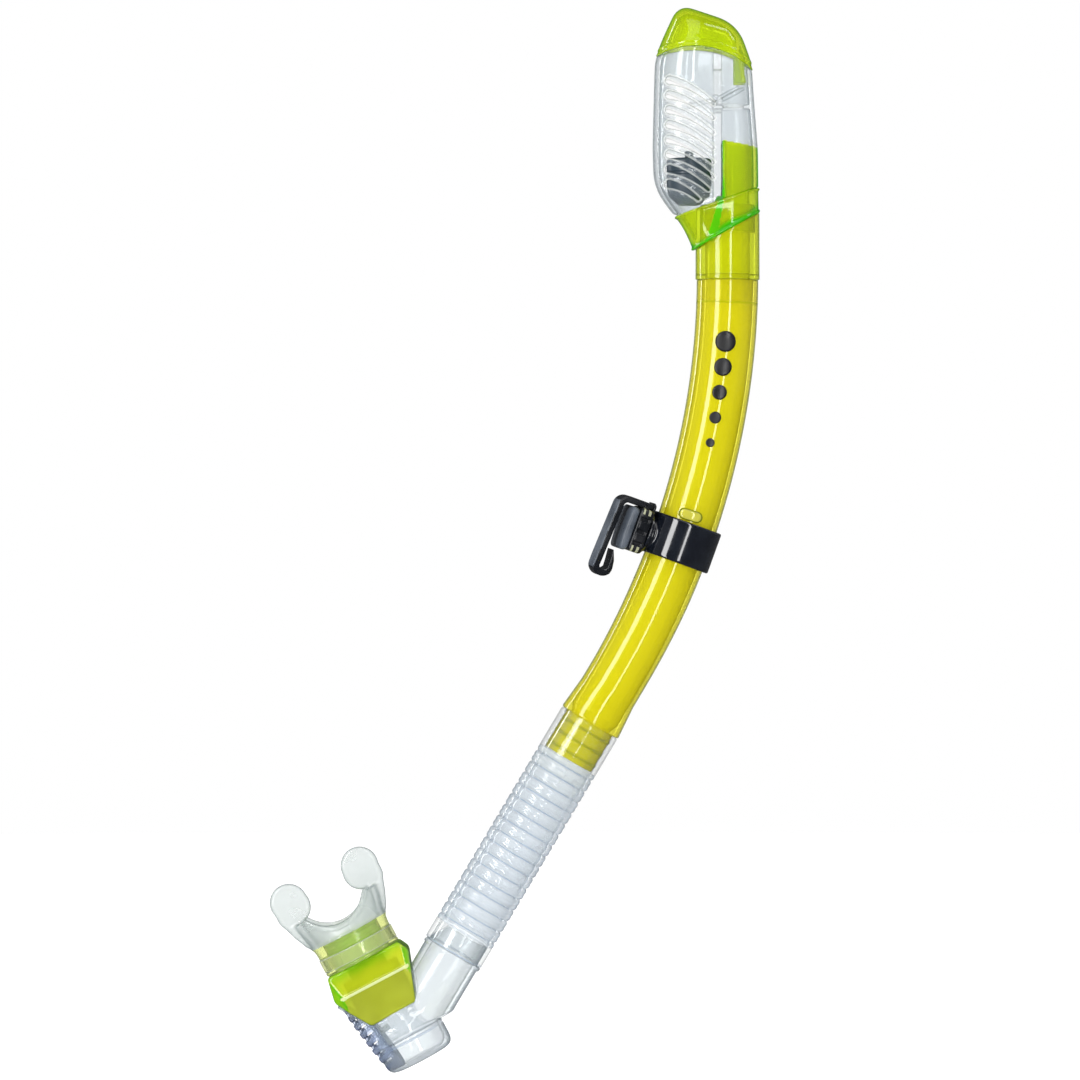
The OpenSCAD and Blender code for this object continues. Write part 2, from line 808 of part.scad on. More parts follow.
module purge_seat() {
    holes = 5;
    hole_r = 1.3;
    hole_at = 3.1;
    color([0.8, 0.84, 0.86, 0.6]) place() at_purge() translate([valve_x, 0, 0]) difference() {
        translate([0, 0, purge_seat_z + 0.05]) cylinder(r = seat_r, h = seat_plate - 0.05);
        cylinder(r = stem_r + run, h = far);
        for (i = [1 : holes])
            rotate([0, 0, i * 360 / holes]) translate([hole_at, 0, 0]) cylinder(r = hole_r, h = far);
    }
}

module purge_diaphragm() {
    color([0.82, 0.86, 0.87, 0.7]) place() at_purge() translate([valve_x, 0, 0]) {
        translate([0, 0, flap_z]) cylinder(r = flap_r, h = flap_thick);
        translate([0, 0, purge_seat_z - 3.6]) cylinder(r = stem_r, h = flap_z - purge_seat_z + 3.8);
    }
}

module purge_guard() {
    slot = [1.3, far, 2.2];
    color([0.8, 0.85, 0.9, 0.5]) place() {
        at_purge() translate([valve_x, 0, stop_z]) cylinder(r = 1.8, h = purge_face - stop_z - 0.5);
        guard_shell(slot);
    }
}

// Slatted shell of the guard
module guard_shell(slot) {
    difference() {
        at_purge() difference() {
            translate([0, 0, purge_seat_z + 0.05]) stadium(purge_r, purge_spread, purge_face - purge_seat_z - 0.05);
            translate([0, 0, guard_base]) stadium(purge_r - 1.6, purge_spread, purge_face - guard_base - guard_wall);
            translate([valve_x, 0, 0]) cylinder(r = seat_r + 0.1, h = guard_base + 1);
            for (i = [-3 : 3])
                translate([i * 4.1 - slot[0] / 2, -far / 2, guard_base + 1.6]) cube(slot);
            for (i = [-2 : 2], side = [-1, 1])
                translate([i * 4.6, side * 5.4, purge_face - 3]) rotate([0, 0, 90]) stadium(0.8, 2.6, 5);
        }
        at_mouth() adapter_blank(0.1);
        at_mouth() translate([sump_x, 0, sump_top + 0.1 - far]) cylinder(r = sump_r + 0.1, h = far);
    }
}

module sump_cap() {
    edge = 3;
    skin = sump_bottom + edge;
    color([0.84, 0.88, 0.9, 0.4]) place() at_mouth() translate([sump_x, 0, 0]) difference() {
        union() {
            translate([0, 0, skin]) cylinder(r = sump_r, h = sump_top - skin);
            translate([0, 0, sump_bottom]) cylinder(r1 = sump_r - edge, r2 = sump_r, h = edge);
        }
        translate([0, 0, skin]) cylinder(r = 12.6 + fit, h = far);
        translate([0, 0, sump_bottom + sump_wall]) cylinder(r1 = sump_r - edge - 0.9, r2 = 12.6 + fit, h = edge - sump_wall + 0.01);
    }
}

barrel();
neck();
head_collar();
float_housing();
top_cap();
lever_pin();
float();
valve_lever();
valve_seal();
keeper_ring();
swivel_plate();
swivel_pin();
clip_body();
strap_pad();
strap_hook();
flex_hose();
chamber_body();
mouthpiece_adapter();
mouthpiece();
mouthpiece_band();
purge_seat();
purge_diaphragm();
purge_guard();
sump_cap();
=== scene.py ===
import json
import math

import bpy
import numpy as np
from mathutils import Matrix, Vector


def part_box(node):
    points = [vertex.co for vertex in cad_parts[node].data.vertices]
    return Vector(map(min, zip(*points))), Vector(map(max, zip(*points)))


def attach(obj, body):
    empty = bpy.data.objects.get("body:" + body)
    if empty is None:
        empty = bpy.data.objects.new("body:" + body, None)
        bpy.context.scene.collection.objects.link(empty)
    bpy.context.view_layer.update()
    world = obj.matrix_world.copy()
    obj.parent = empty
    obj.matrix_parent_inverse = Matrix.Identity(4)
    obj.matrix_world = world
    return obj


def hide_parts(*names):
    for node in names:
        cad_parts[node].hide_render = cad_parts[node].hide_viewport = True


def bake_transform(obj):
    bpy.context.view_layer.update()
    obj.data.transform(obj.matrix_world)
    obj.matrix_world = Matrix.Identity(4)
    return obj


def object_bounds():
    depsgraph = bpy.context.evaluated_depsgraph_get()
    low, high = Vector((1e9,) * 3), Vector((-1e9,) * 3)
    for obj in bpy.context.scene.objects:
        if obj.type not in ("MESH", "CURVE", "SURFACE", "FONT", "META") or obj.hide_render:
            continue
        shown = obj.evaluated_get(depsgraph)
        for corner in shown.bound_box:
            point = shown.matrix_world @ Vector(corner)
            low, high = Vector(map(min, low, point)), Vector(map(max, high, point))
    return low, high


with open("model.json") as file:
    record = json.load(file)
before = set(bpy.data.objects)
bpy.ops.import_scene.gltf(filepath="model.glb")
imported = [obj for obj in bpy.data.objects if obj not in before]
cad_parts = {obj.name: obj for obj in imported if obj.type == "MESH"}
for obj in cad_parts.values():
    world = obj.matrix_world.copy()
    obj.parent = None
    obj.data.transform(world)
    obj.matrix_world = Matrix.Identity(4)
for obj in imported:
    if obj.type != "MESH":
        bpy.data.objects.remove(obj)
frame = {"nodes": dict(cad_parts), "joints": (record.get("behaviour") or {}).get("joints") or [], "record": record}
cad_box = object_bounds()

# ---------------------------------------------------------------- frames
# Everything is designed in millimetres in local frames, then placed in the row frame in metres.

MM = 0.001
JOINTS = {j["name"]: j for j in frame["joints"]}
MOUNTS = {m["name"]: m for m in frame["record"]["mounts"]}


def unit(v):
    v = np.array(v, float)
    return v / np.linalg.norm(v)


def joint_at(name):
    return np.array(JOINTS[name]["pos_m"], float) / MM


class Place:
    """A local frame: origin in the row frame, with its Y and Z axes."""

    def __init__(self, origin, z, y=(0, 1, 0)):
        self.o = np.array(origin, float)
        z, y = unit(z), unit(y)
        x = unit(np.cross(y, z))
        self.m = np.column_stack([x, np.cross(z, x), z])

    def out(self, p):
        return np.asarray(p, float) @ self.m.T + self.o

    def into(self, p):
        return (np.asarray(p, float) - self.o) @ self.m

    def at(self, p, turn_y=0.0, turn_z=0.0):
        """A frame at local point p, turned about this frame's Z and then the new Y."""
        cz, sz = math.cos(turn_z), math.sin(turn_z)
        c, s = math.cos(turn_y), math.sin(turn_y)
        y = np.array([-sz, cz, 0])
        z = np.array([s * cz, s * sz, c])
        return Place(self.out(p), self.m @ z, self.m @ y)


HEAD_ABOVE_BEND = (0.84, 0, 8)
PIVOT_IN_HEAD = (-5.8, 0, 62.2)
tube = Place(joint_at("valve_tilt") - np.array(HEAD_ABOVE_BEND) - np.array(PIVOT_IN_HEAD), (0, 0, 1))
head = tube.at(HEAD_ABOVE_BEND)
hose = Place(joint_at("chamber_turn"), JOINTS["chamber_turn"]["axis"])
CROSS_BELOW_SEAM = 38.6
mouth = Place(hose.out((0, 0, -CROSS_BELOW_SEAM)), MOUNTS["breathing_port"]["axis"])
clip = Place(joint_at("clip_swivel"), JOINTS["clip_swivel"]["axis"], JOINTS["hook_flex"]["axis"])
PURGE_UP = 7.1
purge = Place(mouth.out((0, 0, PURGE_UP)), JOINTS["purge_lift"]["axis"])

BEND_R = 314.5
BEND = math.atan2(hose.m[0, 2], hose.m[2, 2])
ARC = BEND_R * BEND
HOSE_LENGTH = 107
bend_end = tube.out((-BEND_R + BEND_R * math.cos(BEND), 0, -BEND_R * math.sin(BEND)))
BARREL_END = float(np.linalg.norm(bend_end - hose.o)) + ARC - HOSE_LENGTH
ring_at = tube.into(joint_at("keeper_turn"))
KEEPER_S = float(math.atan2(-ring_at[2], ring_at[0] + BEND_R)) * BEND_R


def station(s):
    """Frame on the tube's centreline, s millimetres below the top of the bend, +Z up the tube."""
    a = min(max(s / BEND_R, 0.0), BEND)
    straight = s if s < 0 else max(0.0, s - ARC)
    x = -BEND_R + BEND_R * math.cos(a) - straight * math.sin(a)
    z = -BEND_R * math.sin(a) - straight * math.cos(a)
    return Place(tube.out((x, 0, z)), tube.m @ np.array([math.sin(a), 0, math.cos(a)]))


# ---------------------------------------------------------------- mesh making


def linked(name, data):
    """A new object in the scene."""
    ob = bpy.data.objects.new(name, data)
    bpy.context.scene.collection.objects.link(ob)
    return ob


def build(name, verts, faces, body, mats, face_mats=None, sharp=38, stands_for=(), slot=None):
    """A smooth mesh object from row-frame millimetres, riding on a body."""
    verts = np.asarray(verts, float)
    faces = np.asarray(faces, int)
    tri = verts[faces[:, [0, 1, 2]]]
    volume = np.einsum("ij,ij->i", tri[:, 0], np.cross(tri[:, 1], tri[:, 2])).sum()
    if faces.shape[1] == 4:
        tri = verts[faces[:, [0, 2, 3]]]
        volume += np.einsum("ij,ij->i", tri[:, 0], np.cross(tri[:, 1], tri[:, 2])).sum()
    if volume < 0:
        faces = faces[:, ::-1]
    me = bpy.data.meshes.new(name)
    me.from_pydata(verts * MM, [], faces.tolist())
    for m in mats:
        me.materials.append(m)
    if face_mats is not None:
        me.polygons.foreach_set("material_index", np.asarray(face_mats, np.int32))
    me.polygons.foreach_set("use_smooth", np.ones(len(me.polygons), bool))
    me.update()
    if sharp:
        me.set_sharp_from_angle(angle=math.radians(sharp))
    ob = linked(name, me)
    if body:
        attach(ob, body)
    if stands_for:
        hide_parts(*stands_for)
    return ob


def rounded(points, radius=0.4, steps=3):
    """A closed outline with its corners rounded. A point may carry its own radius."""
    out = []
    n = len(points)
    for i in range(n):
        p = np.array(points[i][:2], float)
        r = points[i][2] if len(points[i]) > 2 else radius
        a = np.array(points[i - 1][:2], float) - p
        b = np.array(points[(i + 1) % n][:2], float) - p
        la, lb = np.linalg.norm(a), np.linalg.norm(b)
        a, b = a / la, b / lb
        corner = math.acos(max(-1, min(1, float(a @ b))))
        if r <= 0 or corner > math.radians(172):
            out.append(p)
            continue
        back = min(r / math.tan(corner / 2), 0.45 * la, 0.45 * lb)
        p0, p1 = p + a * back, p + b * back
        for k in range(steps + 1):
            t = k / steps
            out.append((1 - t) ** 2 * p0 + 2 * t * (1 - t) * p + t**2 * p1)
    return np.array(out)


def divided(points, longest):
    """The closed outline with its long edges cut into shorter ones."""
    out = []
    for i in range(len(points)):
        a, b = points[i], points[(i + 1) % len(points)]
        n = max(1, int(np.linalg.norm(b - a) / longest))
        out += [a + (b - a) * k / n for k in range(n)]
    return np.array(out)


def lathe(name, outline, at, body, mats, segments=112, pick=None, warp=None, **extra):
    """Turns a closed outline of (height, radius) about the axis of at(height) into a closed mesh.
    pick gives a face its material from its outline points, and warp moves the local points."""
    turn = np.arange(segments) * 2 * math.pi / segments
    circle = np.column_stack([np.cos(turn), np.sin(turn)])
    verts = []
    for z, r in outline:
        local = np.column_stack([circle * r, np.zeros(segments)])
        if callable(at):
            verts.append(at(z).out(local))
        else:
            local[:, 2] = z
            if warp is not None:
                local = warp(local)
            verts.append(at.out(local))
    rows = len(outline)
    i, j = np.meshgrid(np.arange(rows), np.arange(segments), indexing="ij")
    i2, j2 = (i + 1) % rows, (j + 1) % segments
    faces = np.stack(
        [i * segments + j, i * segments + j2, i2 * segments + j2, i2 * segments + j], -1
    ).reshape(-1, 4)
    face_mats = None
    if pick is not None:
        row_mats = [pick(outline[k], outline[(k + 1) % rows]) for k in range(rows)]
        face_mats = np.repeat(row_mats, segments)
    return build(name, np.concatenate(verts), faces, body, mats, face_mats, **extra)


CORNERS = [(a, b, c) for a in (0, 1) for b in (0, 1) for c in (0, 1)]
EDGES = [
    (p, q) for p in CORNERS for q in CORNERS if p < q and sum(x != y for x, y in zip(p, q)) == 1
]


def sdf_mesh(name, f, low, high, step, place, body, mats, pick=None, **extra):
    """Closed quad mesh of where f is negative, by surface nets, then pulled onto the surface itself."""
    low = np.array(low, float)
    count = np.ceil((np.array(high, float) - low) / step).astype(int) + 1
    axes = [low[k] + step * np.arange(count[k]) for k in range(3)]
    block = 6
    values = np.empty(count)
    centres = [
        np.array([a[s : s + block].mean() for s in range(0, len(a), block)]) for a in axes
    ]
    grid = np.stack(np.meshgrid(*centres, indexing="ij"), -1).reshape(-1, 3)
    rough = f(grid).reshape([len(c) for c in centres])
    reach = step * block * 1.25
    near = []
    for i, j, k in np.ndindex(rough.shape):
        cut = tuple(slice(n * block, (n + 1) * block) for n in (i, j, k))
        if abs(rough[i, j, k]) > reach:
            values[cut] = rough[i, j, k]
        else:
            near.append(cut)
    for first in range(0, len(near), 400):
        part = near[first : first + 400]
        points = [
            np.stack(
                np.meshgrid(*(axes[k][c[k]] for k in range(3)), indexing="ij"), -1
            ).reshape(-1, 3)
            for c in part
        ]
        got = f(np.concatenate(points))
        at = 0
        for c, p in zip(part, points):
            values[c] = got[at : at + len(p)].reshape(values[c].shape)
            at += len(p)
    inside = values < 0
    m = [n - 1 for n in count]
    view = lambda a, c: a[c[0] : c[0] + m[0], c[1] : c[1] + m[1], c[2] : c[2] + m[2]]
    total = sum(view(inside, c).astype(np.int8) for c in CORNERS)
    active = (total > 0) & (total < 8)
    index = np.full(active.shape, -1)
    index[active] = np.arange(active.sum())
    cells = np.argwhere(active)
    corner = {c: view(values, c)[active] for c in CORNERS}
    acc, n = np.zeros((len(cells), 3)), np.zeros(len(cells))
    for p, q in EDGES:
        a, b = corner[p], corner[q]
        cross = (a < 0) != (b < 0)
        t = (a / np.where(cross, a - b, 1))[:, None]
        point = np.array(p) + t * (np.array(q) - np.array(p))
        acc[cross] += point[cross]
        n[cross] += 1
    verts = low + step * (cells + acc / n[:, None])
    faces = []
    for axis in range(3):
        u, v = [k for k in range(3) if k != axis]
        ahead = [slice(None)] * 3
        behind = [slice(None)] * 3
        ahead[axis], behind[axis] = slice(1, None), slice(None, -1)
        change = inside[tuple(ahead)] != inside[tuple(behind)]
        spots = np.argwhere(change)
        spots = spots[(spots[:, u] > 0) & (spots[:, v] > 0)]
        spots = spots[(spots[:, u] < count[u] - 1) & (spots[:, v] < count[v] - 1)]
        ring = []
        for du, dv in ((0, 0), (1, 0), (1, 1), (0, 1)):
            cell = spots.copy()
            cell[:, u] -= du
            cell[:, v] -= dv
            ring.append(index[tuple(cell.T)])
        quad = np.stack(ring, -1)
        out_first = inside[tuple(spots.T)] != (axis == 1)
        quad[out_first] = quad[out_first][:, ::-1]
        faces.append(quad)
    faces = np.concatenate(faces)
    h = step * 0.25
    for _ in range(3):
        d = f(verts)
        slope = np.stack(
            [(f(verts + h * e) - f(verts - h * e)) / (2 * h) for e in np.eye(3)], -1
        )
        size = np.maximum((slope**2).sum(1), 0.25)
        move = slope * (d / size)[:, None]
        far = np.linalg.norm(move, axis=1)
        move *= np.minimum(1, 0.5 * step / np.maximum(far, 1e-9))[:, None]
        verts -= move
    face_mats = None
    if pick is not None:
        face_mats = pick(verts[faces].mean(1))
    return build(name, place.out(verts), faces, body, mats, face_mats, sharp=0, **extra)


# ---------------------------------------------------------------- distance functions


def smin(a, b, k):
    h = np.clip(0.5 + 0.5 * (b - a) / k, 0, 1)
    return b + (a - b) * h - k * h * (1 - h)


def smax(a, b, k):
    return -smin(-a, -b, k)


def post(p, x, y, z0, z1, r, edge=0.3):
    """Upright rod with rounded ends."""
    q = np.hypot(p[:, 0] - x, p[:, 1] - y) - r + edge
    w = np.abs(p[:, 2] - (z0 + z1) / 2) - (z1 - z0) / 2 + edge
    return np.minimum(np.maximum(q, w), 0) + np.hypot(np.maximum(q, 0), np.maximum(w, 0)) - edge


def block(p, low, high, edge=0.3):
    """Box with rounded edges."""
    low, high = np.array(low, float), np.array(high, float)
    q = np.abs(p - (low + high) / 2) - (high - low) / 2 + edge
    return np.linalg.norm(np.maximum(q, 0), axis=1) + np.minimum(q.max(1), 0) - edge


def oblong(p, spread, r):
    """Endless upright bar with round ends, spread along X."""
    return np.hypot(np.maximum(np.abs(p[:, 0]) - spread, 0), p[:, 1]) - r


def slab(p, z0, z1):
    return np.abs(p[:, 2] - (z0 + z1) / 2) - (z1 - z0) / 2


def path(x, z, points, radii):
    """Distance in the XZ plane to a chain of points, less its radius there."""
    best = np.full(len(x), 1e3)
    for (a, ra), (b, rb) in zip(zip(points[:-1], radii[:-1]), zip(points[1:], radii[1:])):
        ex, ez = b[0] - a[0], b[1] - a[1]
        t = np.clip(((x - a[0]) * ex + (z - a[1]) * ez) / (ex * ex + ez * ez), 0, 1)
        d = np.hypot(x - a[0] - t * ex, z - a[1] - t * ez) - (ra + (rb - ra) * t)
        best = np.minimum(best, d)
    return best


def soft_table(knots, spread=2.0):
    """Smooth curves through rows of (height, value, value, ...)."""
    knots = np.array(knots, float)
    z = np.arange(knots[0, 0] - 12, knots[-1, 0] + 12, 0.5)
    bell = np.exp(-0.5 * (np.arange(-12, 13) * 0.5 / spread) ** 2)
    bell /= bell.sum()
    curves = []
    for column in knots[:, 1:].T:
        raw = np.interp(z, knots[:, 0], column)
        padded = np.concatenate([np.full(12, raw[0]), raw, np.full(12, raw[-1])])
        curves.append(np.convolve(padded, bell, "valid"))
    return lambda height: [np.interp(height, z, c) for c in curves]


# ---------------------------------------------------------------- materials


def new_material(name):
    mat = bpy.data.materials.new(name)
    mat.use_nodes = True
    nt = mat.node_tree
    nt.nodes.clear()
    return mat, nt


def add(nt, kind, inputs=None, **props):
    node = nt.nodes.new("ShaderNode" + kind)
    for key, value in props.items():
        setattr(node, key, value)
    for key, value in (inputs or {}).items():
        socket = node.inputs[key]
        if isinstance(value, bpy.types.NodeSocket):
            nt.links.new(value, socket)
        else:
            socket.default_value = value
    return node


def rgb(c):
    return (c[0], c[1], c[2], 1.0)


def math_node(nt, op, a, b=0.0, clamp=False):
    return add(nt, "Math", {0: a, 1: b}, operation=op, use_clamp=clamp).outputs[0]


def ramp(nt, value, low, high, to_low, to_high):
    return add(
        nt,
        "MapRange",
        {"Value": value, "From Min": low, "From Max": high, "To Min": to_low, "To Max": to_high},
        interpolation_type="SMOOTHSTEP",
    ).outputs[0]


def blend_colour(nt, share, a, b):
    node = add(nt, "Mix", data_type="RGBA")
    for socket, value in ((node.inputs[0], share), (node.inputs[6], a), (node.inputs[7], b)):
        if isinstance(value, bpy.types.NodeSocket):
            nt.links.new(value, socket)
        else:
            socket.default_value = value if isinstance(value, float) else rgb(value)
    return node.outputs[2]


MOST_SHINE = 0.2  # keeps the rims of clear pieces from turning dark


def surface_detail(nt, grain, depth, rough, spread):
    """Moulded-surface roughness and bump: fine grain over slow waviness."""
    where = add(nt, "TexCoord").outputs["Object"]
    fine = add(nt, "TexNoise", {"Vector": where, "Scale": grain, "Detail": 4.0}).outputs[0]
    slow = add(nt, "TexNoise", {"Vector": where, "Scale": grain / 9, "Detail": 2.0}).outputs[0]
    roughness = ramp(nt, slow, 0.3, 0.7, rough - spread, rough + spread)
    height = math_node(nt, "ADD", math_node(nt, "MULTIPLY", fine, 0.35), slow)
    bump = add(nt, "Bump", {"Strength": depth, "Distance": 0.0004, "Height": height})
    return slow, roughness, bump.outputs[0]


def clear_plastic(
    name, face, edge, see, see_edge, tint=(1, 1, 1), rough=0.06, grain=420.0, depth=0.12,
    rim_from=0.25, rim_to=0.85, mid=None, glow=None, gloss=1.45, haze=0.0,
):
    """Thin clear or translucent moulding. face and edge colour it head on and at its rim, see and
    see_edge are how much of it is opaque there. mid colours the band inside the rim, and glow is
    (row-frame axis, from, to, colour)."""
    mat, nt = new_material(name)
    slow, roughness, normal = surface_detail(nt, grain, depth, rough, rough * 0.5)
    weight = add(nt, "LayerWeight", {"Blend": 0.5}).outputs["Facing"]
    rim = ramp(nt, weight, rim_from, rim_to, 0.0, 1.0)
    colour = face
    if mid:
        colour = blend_colour(nt, ramp(nt, weight, 0.05, rim_from + 0.1, 0.0, 1.0), face, mid)
    colour = blend_colour(nt, rim, colour, edge)
    opaque = ramp(nt, rim, 0.0, 1.0, see, see_edge)
    if haze:
        opaque = math_node(nt, "ADD", opaque, ramp(nt, slow, 0.35, 0.75, 0.0, haze), clamp=True)
    if glow:
        axis, start, stop, glow_colour = glow
        spot = add(nt, "NewGeometry").outputs["Position"]
        along = add(nt, "VectorMath", {0: spot, 1: axis}, operation="DOT_PRODUCT").outputs["Value"]
        patchy = math_node(nt, "MULTIPLY", math_node(nt, "SUBTRACT", slow, 0.5), (stop - start) * 2.5)
        share = ramp(nt, math_node(nt, "ADD", along, patchy), start, stop, 1.0, 0.0)
        colour = blend_colour(nt, share, colour, glow_colour)
        opaque = math_node(nt, "MAXIMUM", opaque, math_node(nt, "MULTIPLY", share, 0.75))
    base = add(
        nt,
        "BsdfPrincipled",
        {"Base Color": colour, "Roughness": roughness, "Normal": normal, "Specular IOR Level": 0.3},
    ).outputs[0]
    through = add(nt, "BsdfTranslucent", {"Color": colour, "Normal": normal}).outputs[0]
    lit = add(nt, "MixShader", {0: 0.35, 1: base, 2: through}).outputs[0]
    window = add(nt, "BsdfTransparent", {"Color": rgb(tint)}).outputs[0]
    body = add(nt, "MixShader", {0: opaque, 1: window, 2: lit}).outputs[0]
    white = (1, 1, 1, 1)
    shine = add(nt, "BsdfGlossy", {"Color": white, "Roughness": roughness, "Normal": normal}).outputs[0]
    fresnel = add(nt, "Fresnel", {"IOR": gloss, "Normal": normal}).outputs[0]
    coat = math_node(nt, "MINIMUM", math_node(nt, "MULTIPLY", fresnel, 0.9), MOST_SHINE)
    both = add(nt, "MixShader", {0: coat, 1: body, 2: shine}).outputs[0]
    add(nt, "OutputMaterial", {"Surface": both})
    mat.diffuse_color = (face[0], face[1], face[2], max(0.3, see))
    return mat


def solid_plastic(name, colour, dark, rough, grain=900.0, depth=0.2, coat=0.0, metallic=0.0):
    """Opaque moulding or metal with worn, slightly uneven colour."""
    mat, nt = new_material(name)
    slow, roughness, normal = surface_detail(nt, grain, depth, rough, rough * 0.3)
    shade = blend_colour(nt, ramp(nt, slow, 0.3, 0.7, 0.0, 1.0), dark, colour)
    skin = add(
        nt,
        "BsdfPrincipled",
        {
            "Base Color": shade,
            "Roughness": roughness,
            "Normal": normal,
            "Metallic": metallic,
            "Coat Weight": coat,
            "Coat Roughness": 0.05,
        },
    ).outputs[0]
    add(nt, "OutputMaterial", {"Surface": skin})
    mat.diffuse_color = rgb(colour)
    return mat


YELLOW = (0.73, 0.69, 0.018)
YELLOW_DEEP = (0.42, 0.39, 0.004)
LIME = (0.60, 0.72, 0.012)
LIME_DEEP = (0.24, 0.46, 0.008)
GREEN = (0.05, 0.50, 0.004)
ICE = (0.46, 0.51, 0.55)

clear_shell = clear_plastic(
    "clear_shell", ICE, (0.34, 0.39, 0.42), 0.10, 0.5, tint=(0.955, 0.97, 0.98), rim_from=0.4
)
# Painted highlight: pale head on and darker at grazing, for the front louvre rims and the clamp band's edges.
rim_highlight = clear_plastic(
    "rim_highlight", (0.80, 0.82, 0.81), (0.34, 0.38, 0.39), 0.30, 0.62, tint=(0.95, 0.96, 0.955),
    rim_from=0.2, rim_to=0.8,
)
clear_thick = clear_plastic(
    "clear_thick", (0.52, 0.57, 0.61), (0.22, 0.27, 0.31), 0.24, 0.66, tint=(0.94, 0.955, 0.965), rim_from=0.3
)
clear_faint = clear_plastic(
    "clear_faint", ICE, (0.38, 0.43, 0.46), 0.02, 0.22, tint=(0.985, 0.99, 0.99), rim_from=0.55
)
hose_clear = clear_plastic(
    "hose_clear", (0.62, 0.67, 0.71), (0.44, 0.51, 0.58), 0.30, 0.6, tint=(0.97, 0.978, 0.985),
    rough=0.08, haze=0.1, depth=0.16, rim_from=0.35, rim_to=0.9,
)
# Painted shade: dark blue-grey for the hose's valleys, its end ring and the sump drum's groove.
groove_shade = clear_plastic(
    "groove_shade", (0.26, 0.34, 0.45), (0.42, 0.50, 0.58), 0.55, 0.3, tint=(0.95, 0.965, 0.98), rough=0.08,
    rim_from=0.15, rim_to=0.6,
)
guard_clear = clear_plastic(
    "guard_clear", (0.38, 0.45, 0.58), (0.02, 0.04, 0.14), 0.25, 0.88, tint=(0.88, 0.91, 0.97), rim_from=0.12
)
yellow_skin = clear_plastic(
    "yellow_skin", YELLOW, (0.40, 0.44, 0.24), 0.34, 0.7, tint=(0.955, 0.93, 0.34), depth=0.05,
    rim_from=0.6, rim_to=0.8, mid=(0.54, 0.50, 0.006),
)
neck_skin = clear_plastic(
    "neck_skin", (0.60, 0.66, 0.01), (0.36, 0.44, 0.18), 0.36, 0.7, tint=(0.88, 0.93, 0.22),
    rim_from=0.6, rim_to=0.8, mid=(0.42, 0.45, 0.005),
)
plug_end = clear_plastic(
    "plug_end", (0.44, 0.46, 0.01), (0.30, 0.33, 0.02), 0.6, 0.8, tint=(0.9, 0.9, 0.3), rim_from=0.5
)
lug_skin = clear_plastic(
    "lug_skin", (0.80, 0.78, 0.14), (0.13, 0.18, 0.008), 0.45, 0.95, tint=(0.96, 0.95, 0.4),
    rim_from=0.05, rim_to=0.4,
)
yellow_core = clear_plastic(
    "yellow_core", YELLOW, YELLOW_DEEP, 0.6, 0.9, tint=(0.96, 0.94, 0.25), rim_from=0.3, rough=0.1
)
lime_skin = clear_plastic(
    "lime_skin", LIME, LIME_DEEP, 0.38, 0.9, tint=(0.86, 0.94, 0.22), rim_from=0.3, mid=(0.52, 0.60, 0.01),
    haze=0.25
)


def head_at(x):
    """Row-frame X of a place in the head, in metres."""
    return (head.o[0] + x) * MM


lime_riser = clear_plastic(
    "lime_riser", (0.68, 0.75, 0.035), GREEN, 0.22, 0.9, tint=(0.88, 0.94, 0.34), rim_from=0.45,
    mid=(0.46, 0.54, 0.008),
    glow=((1, 0, 0), float(head_at(-3.2)), float(head_at(-1.2)), GREEN),
)
silicone = clear_plastic(
    "silicone", (0.53, 0.575, 0.57), (0.30, 0.36, 0.36), 0.38, 0.8, tint=(0.965, 0.975, 0.97),
    rough=0.2, depth=0.22, haze=0.14, rim_from=0.2,
)
silicone_over_lime = clear_plastic(
    "silicone_over_lime", (0.72, 0.78, 0.34), (0.46, 0.53, 0.26), 0.2, 0.6, tint=(0.95, 0.975, 0.6),
    rough=0.16, depth=0.2, rim_from=0.45,
)
clear_lime = clear_plastic(
    "clear_lime", (0.74, 0.79, 0.36), (0.52, 0.58, 0.30), 0.12, 0.4, tint=(0.965, 0.98, 0.75), rim_from=0.4
)
gloss_black = solid_plastic(
    "gloss_black", (0.006, 0.008, 0.012), (0.003, 0.004, 0.007), 0.12, coat=0.8, depth=0.04
)
satin_black = solid_plastic("satin_black", (0.008, 0.009, 0.012), (0.004, 0.005, 0.007), 0.26, depth=0.25)
satin_grey = solid_plastic("satin_grey", (0.085, 0.10, 0.125), (0.05, 0.06, 0.075), 0.38, depth=0.2)
float_grey = solid_plastic("float_grey", (0.05, 0.068, 0.085), (0.03, 0.045, 0.06), 0.4, depth=0.35)
pin_steel = solid_plastic("pin_steel", (0.6, 0.61, 0.63), (0.5, 0.51, 0.53), 0.25, metallic=1.0)
# Painted reflection: olive-cream glints on the black clip block.
glint_band = solid_plastic("glint_band", (0.30, 0.31, 0.20), (0.20, 0.20, 0.12), 0.3, depth=0.2)
ink = solid_plastic("ink", (0.004, 0.004, 0.005), (0.008, 0.008, 0.009), 0.35, depth=0.1)

CAD_MATERIALS = {
    "lever_pin": pin_steel,
    "valve_lever": clear_faint,
    "valve_seal": clear_faint,
    "purge_seat": clear_thick,
    "purge_diaphragm": silicone,
    "swivel_pin": satin_grey,
}
for node_name, node in frame["nodes"].items():
    node.data.materials.clear()
    node.data.materials.append(CAD_MATERIALS.get(node_name, clear_shell))

# ---------------------------------------------------------------- dry top
# Head frame: outline heights with the left and right edge and the half depth of each lobe.

